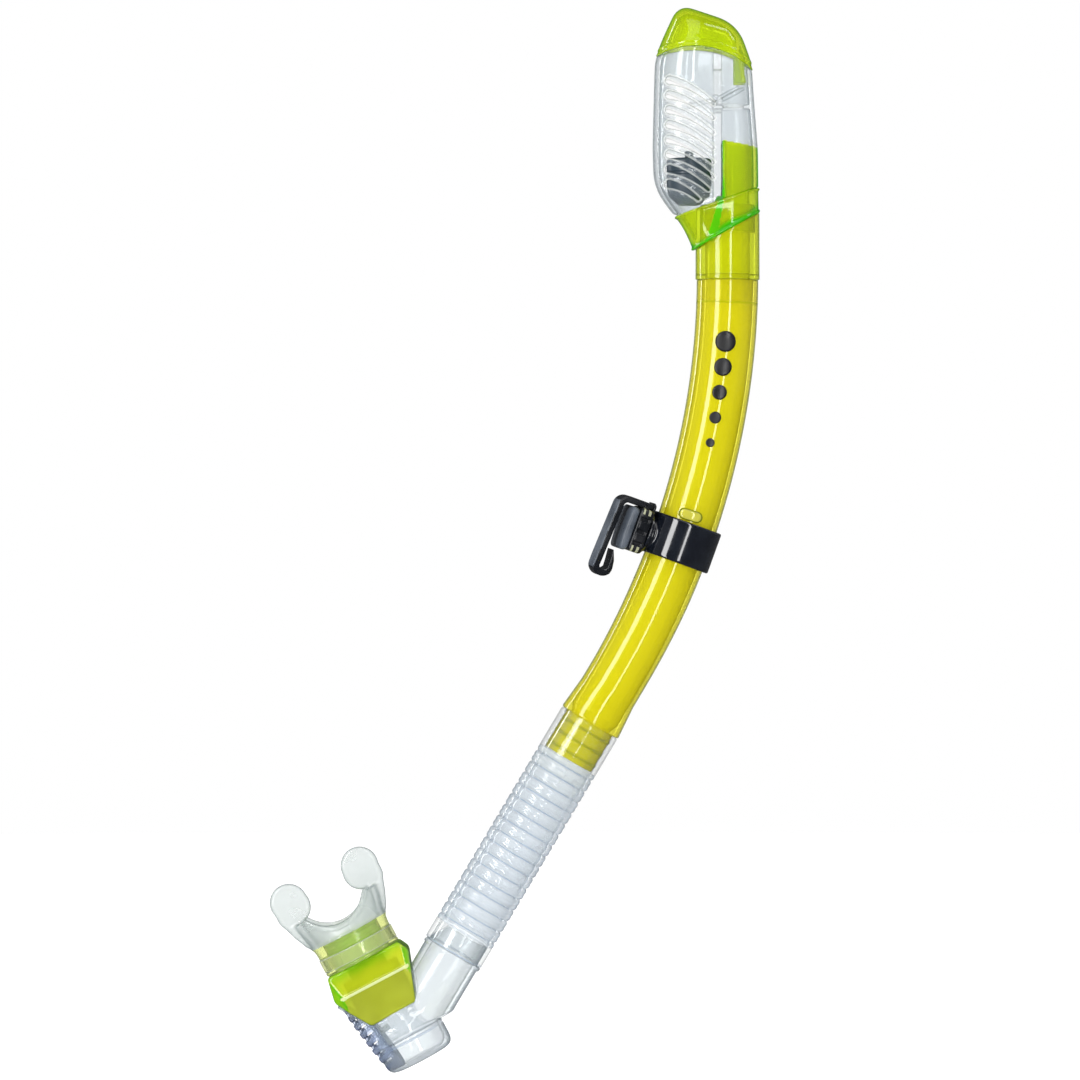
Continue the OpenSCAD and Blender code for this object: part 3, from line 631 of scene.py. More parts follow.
head_curves = soft_table(
    [
        (-12, -13.64, 11.96, 12.8, 12.8),
        (0, -13.9, 11.9, 12.7, 12.7),
        (6, -16.2, 11.8, 12.3, 12.3),
        (12, -19.2, 11.7, 11.9, 11.9),
        (18, -24.0, 11.6, 11.9, 11.6),
        (24, -28.3, 11.5, 13.3, 11.3),
        (30, -30.4, 11.45, 14.3, 11.2),
        (42, -30.8, 11.3, 14.5, 11.0),
        (60, -30.4, 9.9, 14.4, 10.6),
        (77, -29.9, 8.7, 14.0, 10.0),
        (84, -27.9, 6.2, 12.9, 9.2),
        (90, -25.2, 3.9, 11.4, 8.2),
        (96, -22.4, 1.4, 9.6, 7.2),
        (102, -19.6, -1.5, 7.6, 6.0),
    ]
)
TOP_SLOPE = math.radians(18.2)


def lobes(p):
    """Outside of the head: two round lobes joined by flat sides, under a sloping domed top."""
    z = p[:, 2]
    left, right, r1, r2 = head_curves(z)
    c1, c2 = left + r1, right - r2
    h = np.maximum(c2 - c1, np.abs(r1 - r2) * 1.03 + 0.05)
    b = (r1 - r2) / h
    a = np.sqrt(1 - b * b)
    x, y = np.abs(p[:, 1]), p[:, 0] - c1
    k = a * y - b * x
    side = np.where(
        k < 0,
        np.hypot(x, y) - r1,
        np.where(k > a * h, np.hypot(x, y - h) - r2, a * x + b * y - r1),
    )
    crown = (
        math.sin(TOP_SLOPE) * (p[:, 0] + 10.3)
        + math.cos(TOP_SLOPE) * (z - 96.9)
        + p[:, 1] ** 2 / 46
    )
    return smax(side, crown, 6.5)


def over_seam(p, x, z, slope):
    """Height of p above a slanted seam."""
    t = math.radians(slope)
    return (p[:, 2] - z) * math.cos(t) - (p[:, 0] - x) * math.sin(t)


SEAM_1 = (-5, 21.2, 19.1)
SEAM_2 = (-1.6, 9, 29.6)
SHELL = 1.8


def cap_seam(p):
    return np.hypot(p[:, 0] + 14.1, p[:, 2] - 49) - 33.7


LOUVRES = 8


def louvre_gaps(p):
    """Leaf-shaped slots that sweep down and to the right."""
    best = np.full(len(p), 1e3)
    for i in range(LOUVRES):
        z = 69.2 - 5.9 * i
        length = 17.4 if i < LOUVRES - 2 else (15.5 if i < LOUVRES - 1 else 11.5)
        t = np.linspace(0, 1, 9)
        points = np.column_stack([-24.3 + length * t, z - length * (0.24 * t + 0.30 * t * t)])
        best = np.minimum(best, path(p[:, 0], p[:, 2], points, 1.55 - 1.0 * t))
    return best


def housing(p):
    x, y = p[:, 0], p[:, 1]
    skin = lobes(p)
    shell = np.abs(skin + SHELL / 2) - SHELL / 2
    hollow = skin + SHELL * 0.6
    wall = np.maximum(np.abs(x + 4.9) - 1.7, hollow)
    window = block(p, (-9, -6.2, 57), (-1, 6.2, 74), 1)
    wall = smax(wall, -window, 0.4)
    seat = np.maximum(np.maximum(np.abs(p[:, 2] - 59.2) - 0.8, hollow), -6.6 - x)
    opening = np.hypot(x - 1.4, np.maximum(np.abs(y) - 2.4, 0)) - 4.2
    seat = smax(seat, -opening, 0.3)
    gaps = np.maximum(louvre_gaps(p), 4 - np.abs(y))
    shell = shell - 0.28 * np.exp(-(((gaps - 0.55) / 0.5) ** 2))
    shell = smax(shell, -gaps, 0.6)
    d = smin(smin(shell, wall, 0.5), seat, 0.4)
    d = smax(d, 0.08 - over_seam(p, *SEAM_1), 0.35)
    return smax(d, cap_seam(p) + 0.08, 0.35)


RISER_TOP = 44.4
RISER_X = 0.3


def over_riser(p):
    return p[:, 2] - RISER_TOP + 0.17 * (p[:, 0] - 2)


def housing_parts(c):
    inside = lobes(c) < -SHELL - 0.25
    by_riser = (c[:, 0] > -3.0) & (over_riser(c) < 0) & ~inside
    rim = (louvre_gaps(c) < 0.8) & (np.abs(c[:, 1]) > 4) & ~inside
    # Front louvre rims get the painted highlight, rear rims the faint clear.
    return np.where(by_riser, 3, np.where(inside | (rim & (c[:, 1] > 0)), 2, np.where(rim, 1, 0)))


sdf_mesh(
    "float_housing_shell", housing, (-33, -16.5, 6), (14, 16.5, 86), 0.5, head, "barrel",
    [clear_shell, rim_highlight, clear_faint, lime_riser], pick=housing_parts,
    stands_for=["float_housing"], slot="clear",
)


def cap(p):
    x, y, z = p.T
    seam = cap_seam(p)
    skin = lobes(p)
    for bead in (0.5, 2.3):
        skin = skin - 0.3 * np.exp(-(((seam - bead) / 0.45) ** 2))
    shell = smax(skin, -(skin + 2.1), 0.3)
    shell = smax(shell, 0.08 - seam, 0.4)
    rib = np.maximum(np.abs(x - 3.2) - 0.6, 80.4 - z)
    rib = np.maximum(rib, skin + 1)
    tongues = np.maximum(
        np.maximum(np.abs(np.abs(y) - 6.2) - 0.45, np.abs(x - 4.1) - 2.5),
        np.maximum(68.4 - z, skin + 0.9),
    )
    fin = np.maximum(np.abs(y) - 0.6, np.maximum(83.5 - z, skin + 1))
    fin = np.maximum(fin, np.abs(x + 8) - 7)
    peg = np.maximum(np.hypot(x + 8.5, y + 5) - 1.6, np.maximum(82 - z, skin + 1))
    fin = np.minimum(fin, peg)
    return smin(shell, np.minimum(np.minimum(rib, tongues), fin), 0.5)


sdf_mesh(
    "top_cap_dome", cap, (-33, -16.5, 66), (12, 16.5, 101), 0.5, head, "barrel",
    [lime_skin], stands_for=["top_cap"], slot="lime_clear",
)

COLLAR_BORE = 11.0
NECK_X = -HEAD_ABOVE_BEND[0]


def collar(p):
    x, y, z = p.T
    skin = lobes(p)
    d = smax(skin, over_seam(p, *SEAM_1) + 0.08, 0.35)
    d = smax(d, 0.08 - over_seam(p, *SEAM_2), 0.35)
    bore = np.maximum(np.hypot(x - NECK_X, y) - COLLAR_BORE, z - 20)
    duct = np.maximum(np.hypot(x - RISER_X, y) - 7.6, -1.6 - x)
    pocket = np.maximum(skin + 1.9, x + 13.2)
    pocket = np.maximum(pocket, 3.6 - over_seam(p, *SEAM_2))
    d = smax(d, -np.minimum(bore, np.minimum(duct, pocket)), 0.3)
    riser = np.maximum(np.hypot(x - RISER_X, y) - 9.05, -3.1 - x)
    riser = smax(riser, -duct, 0.2)
    riser = np.maximum(smax(riser, over_riser(p), 0.3), -(over_seam(p, *SEAM_1) + 1))
    rib = path(x, z, [(-4.4, 22), (-7.4, 7)], [1.3, 1.9])
    rib = smax(rib, np.abs(np.abs(y) - 7.2) - 1.2, 0.6)
    d = smin(d, smax(rib, skin + 0.4, 0.3), 0.5)
    for seam, side in ((SEAM_1, -1), (SEAM_2, 1)):
        bead = np.hypot(skin - 0.05, over_seam(p, *seam) - side * 0.75) - 0.5
        d = smin(d, bead, 0.3)
    return smin(d, riser, 0.3)


def collar_parts(c):
    rib = path(c[:, 0], c[:, 2], [(-3.8, 21), (-6.8, 8.5)], [1.0, 1.8])
    tall = over_seam(c, *SEAM_1) > 0.3
    return np.where(tall, 1, np.where((rib < 0) & (lobes(c) > -0.6), 2, 0))


lime_rib = clear_plastic(
    "lime_rib", (0.10, 0.56, 0.004), (0.02, 0.34, 0.003), 0.7, 0.9, tint=(0.3, 0.8, 0.1),
    rim_from=0.4, haze=0.3,
)
seam_slope = math.radians(SEAM_2[2])
seam_normal = np.array([-math.sin(seam_slope), 0, math.cos(seam_slope)])
seam_level = float(head.out((SEAM_2[0], 0, SEAM_2[1])) @ seam_normal) * MM
lime_collar = clear_plastic(
    "lime_collar", (0.62, 0.71, 0.012), LIME_DEEP, 0.34, 0.9, tint=(0.84, 0.93, 0.22), rim_from=0.25,
    glow=(tuple(seam_normal), seam_level + 0.0012, seam_level + 0.0042, GREEN),
)
sdf_mesh(
    "head_collar_shell", collar, (-28, -14, -2), (14, 14, 47), 0.5, head, "barrel",
    [lime_collar, lime_riser, lime_rib], pick=collar_parts, stands_for=["head_collar"], slot="lime_clear",
)

# ---------------------------------------------------------------- float

float_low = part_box("float")[0].z / MM - head.o[2]
float_outline = rounded(
    [
        (float_low + 0.2, 0.02, 0), (float_low + 0.2, 4.2, 2), (float_low + 3.6, 8.2, 3),
        (float_low + 8, 9, 2), (float_low + 12.2, 9, 0.3), (float_low + 12.7, 8.5, 0.3),
        (float_low + 13.4, 8.5, 0.3), (float_low + 13.9, 9, 0.3), (float_low + 19, 9, 1.6),
        (float_low + 19, 1.75, 0.4), (float_low + 21.9, 1.75, 0.5), (float_low + 21.9, 0.02, 0),
    ],
    steps=5,
)
lathe(
    "float_plug", float_outline, head.at((-16.2, 0, 0)), "float", [float_grey], 96,
    stands_for=["float"], slot="float_grey",
)

# ---------------------------------------------------------------- neck and barrel


NECK_R = 12.8
PIPE_BORE = 8.9
BARREL_BORE = 10.25


def skin_or_core(limit):
    return lambda a, b: 0 if min(a[1], b[1]) > limit else 1


def slanted(local):
    """Lifts the neck's shoulder into its slanted seam."""
    out = local.copy()
    t = math.tan(seam_slope)
    seam = HEAD_ABOVE_BEND[2] + SEAM_2[1] + (local[:, 0] - HEAD_ABOVE_BEND[0] - SEAM_2[0]) * t
    lift = (local[:, 2] > 0.5) & (np.hypot(local[:, 0], local[:, 1]) > 10.95)
    share = np.clip(local[:, 2] / 17, 0, 1)
    out[lift, 2] = (seam * share)[lift]
    return out


neck_outline = divided(
    rounded(
        [
            (0.1, NECK_R, 0.1), (17, 12.75, 0.1), (17, 10.94, 0.1), (27.9, 10.94, 0.5),
            (27.9, PIPE_BORE, 0.3), (0.1, PIPE_BORE, 0.1),
        ],
        steps=2,
    ),
    1.2,
)
lathe(
    "neck_sleeve", neck_outline, tube, "barrel", [neck_skin, yellow_core], 112,
    pick=skin_or_core(PIPE_BORE + 0.5), warp=slanted, stands_for=["neck"], slot="yellow_clear",
)
BARREL_TOP = 2
PLUG_END = 10.8
lower_neck = divided(
    rounded(
        [
            (-0.1, NECK_R, 0.1), (-0.1, PIPE_BORE, 0.1), (PLUG_END, PIPE_BORE, 0.3), (PLUG_END, 10.19, 0.3),
            (BARREL_TOP, 10.19, 0.1), (BARREL_TOP - 0.1, NECK_R, 0.3),
        ],
        steps=2,
    ),
    1.2,
)
lathe(
    "neck_plug", lower_neck, station, "barrel", [neck_skin, yellow_core], 112,
    pick=skin_or_core(PIPE_BORE + 0.5), slot="yellow_clear",
)

SPIGOT = 17
spigot_rings = []
for i in range(3):
    low = BARREL_END + 2.6 + i * 5.4
    spigot_rings += [(low, 10.6, 0.2), (low + 0.5, 11.0, 0.2), (low + 1.4, 11.0, 0.2), (low + 1.9, 10.6, 0.2)]
barrel_outline = divided(
    rounded(
        [
            (BARREL_TOP + 0.05, BARREL_BORE, 0.2), (BARREL_TOP + 0.05, 12.3, 0.5), (PLUG_END, 12.3, 0),
            (PLUG_END + 0.4, 12.3, 0), (PLUG_END + 0.8, 12.3, 0), (130, 12.25, 20), (165, 11.85, 10),
            (176, 11.85, 8), (BARREL_END - 0.5, 12.95, 1), (BARREL_END, 12.6, 0.3), (BARREL_END, 10.6, 0.2),
        ]
        + spigot_rings
        + [
            (BARREL_END + SPIGOT, 10.6, 0.4), (BARREL_END + SPIGOT, PIPE_BORE, 0.3),
            (BARREL_END - 1, PIPE_BORE, 1),
            (BARREL_END - 4, BARREL_BORE, 1),
        ],
        steps=4,
    ),
    2.0,
)


def barrel_skin(a, b):
    if a[0] > BARREL_END + 1 and min(a[1], b[1]) > 10.65:
        return 2
    if min(a[1], b[1]) < 11.2:
        return 1
    return 2 if PLUG_END < (a[0] + b[0]) / 2 < PLUG_END + 0.8 else 0


lathe(
    "barrel_tube", barrel_outline, station, "barrel", [yellow_skin, yellow_core, plug_end], 128,
    pick=barrel_skin, stands_for=["barrel"], slot="yellow_clear",
)


def lug(p):
    x, y = p[:, 0], p[:, 1]
    plate = np.hypot(np.maximum(np.abs(x) - 2.7, 0), p[:, 2]) - 2.2
    height = np.hypot(x, y) - 13.6
    return smax(smax(plate, height, 1.3), np.maximum(11.9 - np.hypot(x, y), y), 0.2)


sdf_mesh(
    "barrel_lug", lug, (-6, -15, -3.5), (6, -10, 3.5), 0.25, station(KEEPER_S - 11.2), "barrel",
    [lug_skin], slot="yellow_clear",
)


SPOT_IN, SPOT_OUT = 12.2, 12.33


def printed_spot(name, s, r):
    """A flat round ink spot that follows the barrel's front."""
    rings, around = 5, 40
    top, low = [], []
    for level, out in ((SPOT_OUT, top), (SPOT_IN, low)):
        out.append(station(s).out((0, -level, 0)))
        for i in range(1, rings + 1):
            for j in range(around):
                a = 2 * math.pi * j / around
                u, v = r * i / rings * math.cos(a), r * i / rings * math.sin(a)
                phi = u / 12.3
                out.append(station(s - v).out((level * math.sin(phi), -level * math.cos(phi), 0)))
    n = len(top)
    faces = []
    for base in (0, n):
        for j in range(around):
            k = (j + 1) % around
            faces.append((base, base + 1 + j, base + 1 + k, base))
            for i in range(rings - 1):
                a, b = base + 1 + i * around, base + 1 + (i + 1) * around
                faces.append((a + j, b + j, b + k, a + k))
    faces = [list(dict.fromkeys(f)) for f in faces]
    faces = [f if max(f) < n else f[::-1] for f in faces]
    edge = 1 + (rings - 1) * around
    for j in range(around):
        k = (j + 1) % around
        faces.append([edge + j, n + edge + j, n + edge + k, edge + k])
    me = bpy.data.meshes.new(name)
    me.from_pydata(np.array(top + low) * MM, [], faces)
    me.materials.append(ink)
    me.polygons.foreach_set("use_smooth", np.ones(len(me.polygons), bool))
    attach(linked(name, me), "barrel")


SPOT_FIRST, SPOT_APART = 27, 10.2
for i, radius in enumerate((4.2, 3.6, 3.0, 2.4, 1.8)):
    printed_spot(f"printed_spot_{i + 1}", SPOT_FIRST + i * SPOT_APART, radius)

# ---------------------------------------------------------------- keeper ring and clip

RING_BORE, RING_R = 12.45, 14.3
HUB_FACE = RING_R + 0.2
PLATE_FACE = HUB_FACE + 1.3
BODY_FACE = PLATE_FACE + 6.2
PAD_FACE = BODY_FACE + 4.4
RING_HALF = 8.4
HINGE_X = 10.3
keeper = station(KEEPER_S)


def ring(p):
    rho = np.hypot(p[:, 0], p[:, 1])
    band = post(p, 0, 0, -RING_HALF, RING_HALF, RING_R, 0.7)
    q = clip.into(keeper.out(p))
    hub = smax(np.hypot(q[:, 0], q[:, 1]) - 7, q[:, 2] - HUB_FACE, 0.5)
    hub = np.maximum(hub, -q[:, 2])
    d = smin(band, hub, 0.8)
    d = smax(d, RING_BORE - rho, 0.3)
    return np.maximum(d, 2.4 - np.hypot(q[:, 0], q[:, 1]) - (q[:, 2] < 0) * 99)


sdf_mesh(
    "keeper_ring_band", ring, (-16.5, -16.5, -9.4), (16.5, 16.5, 9.4), 0.45, keeper, "keeper",
    [gloss_black], stands_for=["keeper_ring"], slot="black",
)


def swivel(p):
    x, y, z = p.T
    d = smax(np.hypot(x, y) - 8.2, np.abs(z - (HUB_FACE + PLATE_FACE) / 2) - 0.62, 0.4)
    groove = np.maximum(np.abs(np.hypot(x, y) - 6.6) - 0.3, PLATE_FACE - 0.3 - z)
    d = smax(d, -groove, 0.1)
    return np.maximum(d, 2.5 - np.hypot(x, y))


sdf_mesh(
    "swivel_disc", swivel, (-9, -9, HUB_FACE - 0.6), (9, 9, PLATE_FACE + 0.6), 0.3, clip, "keeper",
    [gloss_black], stands_for=["swivel_plate"], slot="black",
)


def clip_block(p):
    low = PLATE_FACE + 0.1
    d = block(p, (-9, -8, low), (9, 8, BODY_FACE), 1.6)
    x, y = p[:, 0], np.abs(p[:, 1])
    level = np.maximum(7.2 - y, slab(p, low + 1.3, BODY_FACE - 1.2))
    for centre in (-5.4, -0.4, 4.6):
        d = smax(d, -np.maximum(np.abs(x - centre) - 0.8, level), 0.4)
    waist = np.maximum(np.abs(p[:, 2] - BODY_FACE + 0.6) - 0.35, 7.7 - np.maximum(y, np.abs(x) - 1))
    d = smax(d, -waist, 0.2)
    knuckle = np.maximum(np.hypot(x - HINGE_X, p[:, 2] - PLATE_FACE - 2) - 2.35, y - 4.5)
    d = smin(d, knuckle, 0.8)
    slot_gap = np.hypot(x - HINGE_X, p[:, 2] - PLATE_FACE - 2) - 1.43
    mouth_gap = np.maximum(10.7 - x, PLATE_FACE + 0.8 - p[:, 2])
    d = np.maximum(d, -np.minimum(slot_gap, mouth_gap))
    pin = np.where(p[:, 2] < PLATE_FACE + 3.5, 2.48, 4.2) - np.hypot(p[:, 0], p[:, 1])
    return np.maximum(d, pin)


def clip_parts(c):
    # Two stripes at each end of the block carry the painted reflection.
    glint_stripe = np.abs(np.abs(c[:, 2] - BODY_FACE + 2.6) - 1.1) < 0.45
    return (glint_stripe & (np.abs(c[:, 0]) > 6.5)).astype(int)


sdf_mesh(
    "clip_block", clip_block, (-10, -9, PLATE_FACE - 0.4), (13.5, 9, BODY_FACE + 0.5), 0.35, clip, "clip",
    [satin_black, glint_band],
    pick=clip_parts, stands_for=["clip_body"], slot="black",
)


def pad(p):
    z = p[:, 2]
    low = BODY_FACE + 0.05
    d = block(p, (-9.5, -8, low), (8.3, 8, PAD_FACE - 0.2), 1.9)
    crown = np.hypot(np.hypot(p[:, 0] + 0.6, p[:, 1]), z - PAD_FACE + 60) - 60
    return smax(smax(d, crown, 0.8), low - z, 0.2)


sdf_mesh(
    "strap_pad_block", pad, (-10.5, -9, BODY_FACE - 0.3), (9.5, 9, PAD_FACE + 0.5), 0.4, clip, "clip",
    [satin_grey], stands_for=["strap_pad"], slot="dark_grey",
)

HOOK_IN = PAD_FACE + 2
CORNER_R, CURL_R = 3.0, 2.9
STRIP_Z = HOOK_IN + 1.35
hook_line = [(PLATE_FACE + 2, HINGE_X)]
hook_line += [
    (STRIP_Z - CORNER_R + CORNER_R * math.sin(t), HINGE_X - CORNER_R + CORNER_R * math.cos(t))
    for t in np.linspace(0, math.pi / 2, 8)
]
hook_line += [
    (STRIP_Z - CURL_R + CURL_R * math.cos(t), -18 - CURL_R * math.sin(t)) for t in np.linspace(0, math.pi, 12)
]
hook_line += [(STRIP_Z - 2 * CURL_R + 0.4, -15), (STRIP_Z - 2 * CURL_R + 1.6, -10.8)]
HOOK_LEAN = math.tan(math.radians(2.6))
hook_line = [(z + HOOK_LEAN * max(0, 7 - x), x) for z, x in hook_line]
hook_half = [1.3] * 9 + [1.35] * 10 + [1.15, 1.0, 0.8, 0.15]


def hook(p):
    x = p[:, 0]
    flat = path(p[:, 2], x, hook_line, hook_half)
    width = 4.5 - 0.6 * np.clip((-x - 14) / 8, 0, 1)
    return smax(flat, np.abs(p[:, 1]) - width, 0.5)


def hook_parts(c):
    outside = c[:, 2] > HOOK_IN + 2.3 + HOOK_LEAN * np.maximum(0, 7 - c[:, 0])
    return outside.astype(int)


sdf_mesh(
    "strap_hook_strip", hook, (-23.5, -5.2, PLATE_FACE), (13, 5.2, HOOK_IN + 5), 0.35, clip, "hook",
    [satin_black, satin_grey], pick=hook_parts, stands_for=["strap_hook"], slot="black",
)

# ---------------------------------------------------------------- hose

CUFF, END_CUFF, RIBS = 17.5, 9.0, 16
HOSE_R, HOSE_BORE = 12.85, 11.08
PITCH = (HOSE_LENGTH - CUFF - END_CUFF) / RIBS


def hose_outer(z):
    if z < END_CUFF or z > HOSE_LENGTH - CUFF:
        return HOSE_R
    valley = abs((z - END_CUFF) / PITCH % 1 - 0.5)
    return HOSE_R - 0.62 * math.exp(-((valley / 0.12) ** 2)) - 0.2 * math.exp(-(((valley - 0.5) / 0.09) ** 2))


outer_line = [(z, hose_outer(z)) for z in np.arange(0.9, HOSE_LENGTH - 0.8, PITCH / 18)]
inner_line = [
    (z, 10.9 - 0.5 * math.exp(-((((z - END_CUFF) / PITCH % 1 - 0.5) / 0.2) ** 2)))
    for z in np.arange(END_CUFF + 0.6, HOSE_LENGTH - CUFF - 0.6, PITCH / 12)
]


def ribbed_or_cuff(a, b):
    z = (a[0] + b[0]) / 2
    if z < 1 and min(a[1], b[1]) > 11.4:
        return 2
    if not END_CUFF < z < HOSE_LENGTH - CUFF:
        return 1
    # A thin ring in each valley gets the painted shade.
    in_valley = abs((z - END_CUFF) / PITCH % 1 - 0.5) < 0.058
    return 2 if in_valley and min(a[1], b[1]) > 11.4 else 0


hose_outline = np.array(
    [(0.15, 12.4), (0.4, 12.75)]
    + outer_line
    + [
        (HOSE_LENGTH - 0.5, 12.7), (HOSE_LENGTH - 0.15, 12.3), (HOSE_LENGTH - 0.15, 11.05),
        (HOSE_LENGTH - CUFF, 11.0),
    ]
    + inner_line[::-1]
    + [(END_CUFF, HOSE_BORE), (0.15, HOSE_BORE)]
)
hose_mesh = lathe(
    "hose_corrugated", hose_outline, hose, None, [hose_clear, clear_faint, groove_shade], 112,
    pick=ribbed_or_cuff, stands_for=["flex_hose"], slot="soft_clear",
)
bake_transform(hose_mesh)

# ---------------------------------------------------------------- chamber

ADAPTER_TOP = 34.6
RIDGE = 24.6
RIDGE_DEPTH = 14.5
FLANK_LEFT, FLANK_RIGHT = 14.0, 14.8
VENT_SPREAD = 3.6
SOCKET_R = 12.0
PORT_R = 8.0
SPIGOT_UP = 12.2
SUMP_X = 2.1
adapter_outline = [
    (-15.8, 34.6), (15.8, 34.6), (18.2, 30.2), (11.2, 10.4), (-8.8, 9.8), (-17.9, 24.4),
]


def prism(p, outline, k):
    """Endless prism along Y with a convex outline in XZ."""
    d = None
    n = len(outline)
    for i in range(n):
        a, b = np.array(outline[i]), np.array(outline[(i + 1) % n])
        e = unit(b - a)
        side = (p[:, 0] - a[0]) * -e[1] + (p[:, 2] - a[1]) * e[0]
        d = side if d is None else smax(d, side, k)
    return d


def adapter_body(p, k=1.0):
    y = np.abs(p[:, 1])
    lean_low, lean_up = math.radians(5), math.radians(14)
    low = (y - RIDGE_DEPTH + (RIDGE - p[:, 2]) * math.tan(lean_low)) * math.cos(lean_low)
    up = (y - RIDGE_DEPTH + (p[:, 2] - RIDGE) * math.tan(lean_up)) * math.cos(lean_up)
    left = ((-p[:, 0] - FLANK_LEFT) + (y - RIDGE_DEPTH)) * math.sqrt(0.5)
    right = ((p[:, 0] - FLANK_RIGHT) + (y - RIDGE_DEPTH)) * math.sqrt(0.5)
    d = prism(p, adapter_outline, k)
    d = smax(d, smax(low, up, 0.8), k)
    return smax(d, smax(left, right, k), k)


def adapter(p):
    x, y = p[:, 0], p[:, 1]
    d = adapter_body(p)
    bead = np.hypot(p[:, 2] - RIDGE, np.abs(y) - RIDGE_DEPTH + 0.35) - 0.62
    bead = np.maximum(bead, np.abs(x - 0.4) - 13.2)
    d = smin(d, bead, 0.5)
    top = ADAPTER_TOP
    d = smin(d, post(p, 0, 0, top - 1, top + SPIGOT_UP, 11.3, 0.4), 0.6)
    for z in (0, 7.2, 10.7):
        d = smin(d, post(p, 0, 0, top + z, top + z + 1.5, 12, 0.4), 0.3)
    bore = np.hypot(x, y) - PORT_R
    socket = np.maximum(np.hypot(x, y) - SOCKET_R, p[:, 2] - 29)
    return smax(d, -np.minimum(bore, socket), 0.35)


mouth_level = float(mouth.out((0, 0, ADAPTER_TOP)) @ mouth.m[:, 2]) * MM
lime_adapter = clear_plastic(
    "lime_adapter", (0.58, 0.64, 0.02), (0.22, 0.44, 0.006), 0.6, 0.92, tint=(0.84, 0.90, 0.28), rim_from=0.3,
    haze=0.2,
    glow=(tuple(-mouth.m[:, 2]), -mouth_level - 0.001, -mouth_level + 0.004, (0.24, 0.56, 0.008)),
)
lime_glint = clear_plastic(
    "lime_glint", (0.86, 0.90, 0.50), (0.50, 0.62, 0.10), 0.75, 0.9, tint=(0.9, 0.95, 0.5), rim_from=0.5
)
# Painted shade: the lower facets below the ridge, darker and duller than the upper ones.
lime_shaded = clear_plastic(
    "lime_shaded", (0.47, 0.51, 0.045), (0.22, 0.40, 0.008), 0.6, 0.92, tint=(0.86, 0.91, 0.32),
    rim_from=0.3, haze=0.25,
)
lime_flank = clear_plastic(
    "lime_flank", (0.13, 0.50, 0.006), (0.05, 0.36, 0.004), 0.72, 0.95, tint=(0.6, 0.9, 0.15), rim_from=0.4,
    mid=(0.30, 0.60, 0.01),
)


def adapter_parts(c):
    y = np.abs(c[:, 1])
    bead = np.hypot(c[:, 2] - RIDGE, y - RIDGE_DEPTH + 0.35) < 0.66
    flank = np.maximum(-c[:, 0] - FLANK_LEFT, c[:, 0] - FLANK_RIGHT) + y - RIDGE_DEPTH > -0.6
    # Faces below the ridge get the painted shade.
    low = np.where(c[:, 2] < RIDGE, 3, 0)
    return np.where(bead, 1, np.where(flank & (c[:, 2] > 18), 2, low))


sdf_mesh(
    "adapter_faceted", adapter, (-20, -16, 7.5), (20, 16, 48.5), 0.5, mouth, "chamber",
    [lime_adapter, lime_glint, lime_flank, lime_shaded], pick=adapter_parts,
    stands_for=["mouthpiece_adapter"], slot="lime_clear",
)


def hose_part(p):
    return hose.into(mouth.out(p))


def purge_part(p):
    return purge.into(mouth.out(p))


def chamber(p):
    x, y, z = p.T
    q = hose_part(p)
    g = purge_part(p)
    rho = np.hypot(q[:, 0], q[:, 1])
    swell = 0.9 * np.clip((-q[:, 2] - 16) / 14, 0, 1) ** 2
    neck = smax(rho - 12.0 - swell, q[:, 2] + 0.05, 0.5)
    neck = smax(neck, -q[:, 2] - 38, 1)
    lip = smax(rho - 12.75, np.abs(q[:, 2] + 0.8) - 0.75, 0.3)
    ball = np.linalg.norm(p, axis=1) - 13.6
    stem = post(p, 0, 0, 0, ADAPTER_TOP - 11, 13.6, 1)
    drum = post(p, SUMP_X, 0, -0.55, 5, 14.4, 1.2)
    vent = smax(oblong(g, VENT_SPREAD, 12.9), np.abs(g[:, 2] - 2.6) - 4.6, 0.8)
    d = smin(neck, smin(ball, stem, 1), 3.5)
    d = smin(smin(d, drum, 1.2), vent, 2.0)
    d = smin(d, lip, 0.5)
    cradle = np.maximum(adapter_body(p) - 0.9, np.maximum(z - 22.5, np.abs(y) - 12.6))
    d = smin(d, cradle, 0.6)
    d = np.maximum(d, 0.12 - prism(p, adapter_outline, 1.0))
    d = smin(d, post(p, 0, 0, 8, 28.8, 11.9, 0.4), 0.3)
    d = smin(d, post(p, SUMP_X, 0, -4.6, 1, 12.5, 0.4), 0.3)
    d = smin(d, np.maximum(rho - 10.95, np.abs(q[:, 2] - 3.7) - 4.8), 0.3)
    hollow = np.maximum(rho - 9.6, -q[:, 2] - 38)
    hollow = smin(hollow, np.linalg.norm(p, axis=1) - 11.6, 2)
    hollow = np.minimum(hollow, np.maximum(np.hypot(x, y) - 10.4, -z))
    hollow = np.minimum(hollow, np.maximum(np.hypot(x - SUMP_X, y) - 11.1, z - 2))
    hollow = np.minimum(hollow, np.maximum(np.hypot(g[:, 0], g[:, 1]) - 9.6, -g[:, 2]))
    d = smax(d, -hollow, 0.3)
    floor = np.maximum(-0.6 - z, -(np.hypot(x - SUMP_X, y) - 12.6))
    return np.maximum(d, floor)


def chamber_parts(c):
    q = hose_part(c)
    inside = (np.hypot(q[:, 0], q[:, 1]) < 10.6) & (q[:, 2] > -34)
    inside |= (np.linalg.norm(c, axis=1) < 12.4) & (c[:, 2] > 2)
    return (inside | (np.hypot(c[:, 0] - SUMP_X, c[:, 1]) < 11.6) & (c[:, 2] < 1)).astype(int)


corner = np.array([mouth.into(hose.out(np.array(c))) for c in ((14, 15, 9), (-14, -15, 9))])
sdf_mesh(
    "chamber_shell", chamber, (-21, -17, -6), (max(corner[:, 0]) + 3, 17, 30), 0.55, mouth, "chamber",
    [clear_thick, clear_faint], pick=chamber_parts, stands_for=["chamber_body"], slot="clear",
)


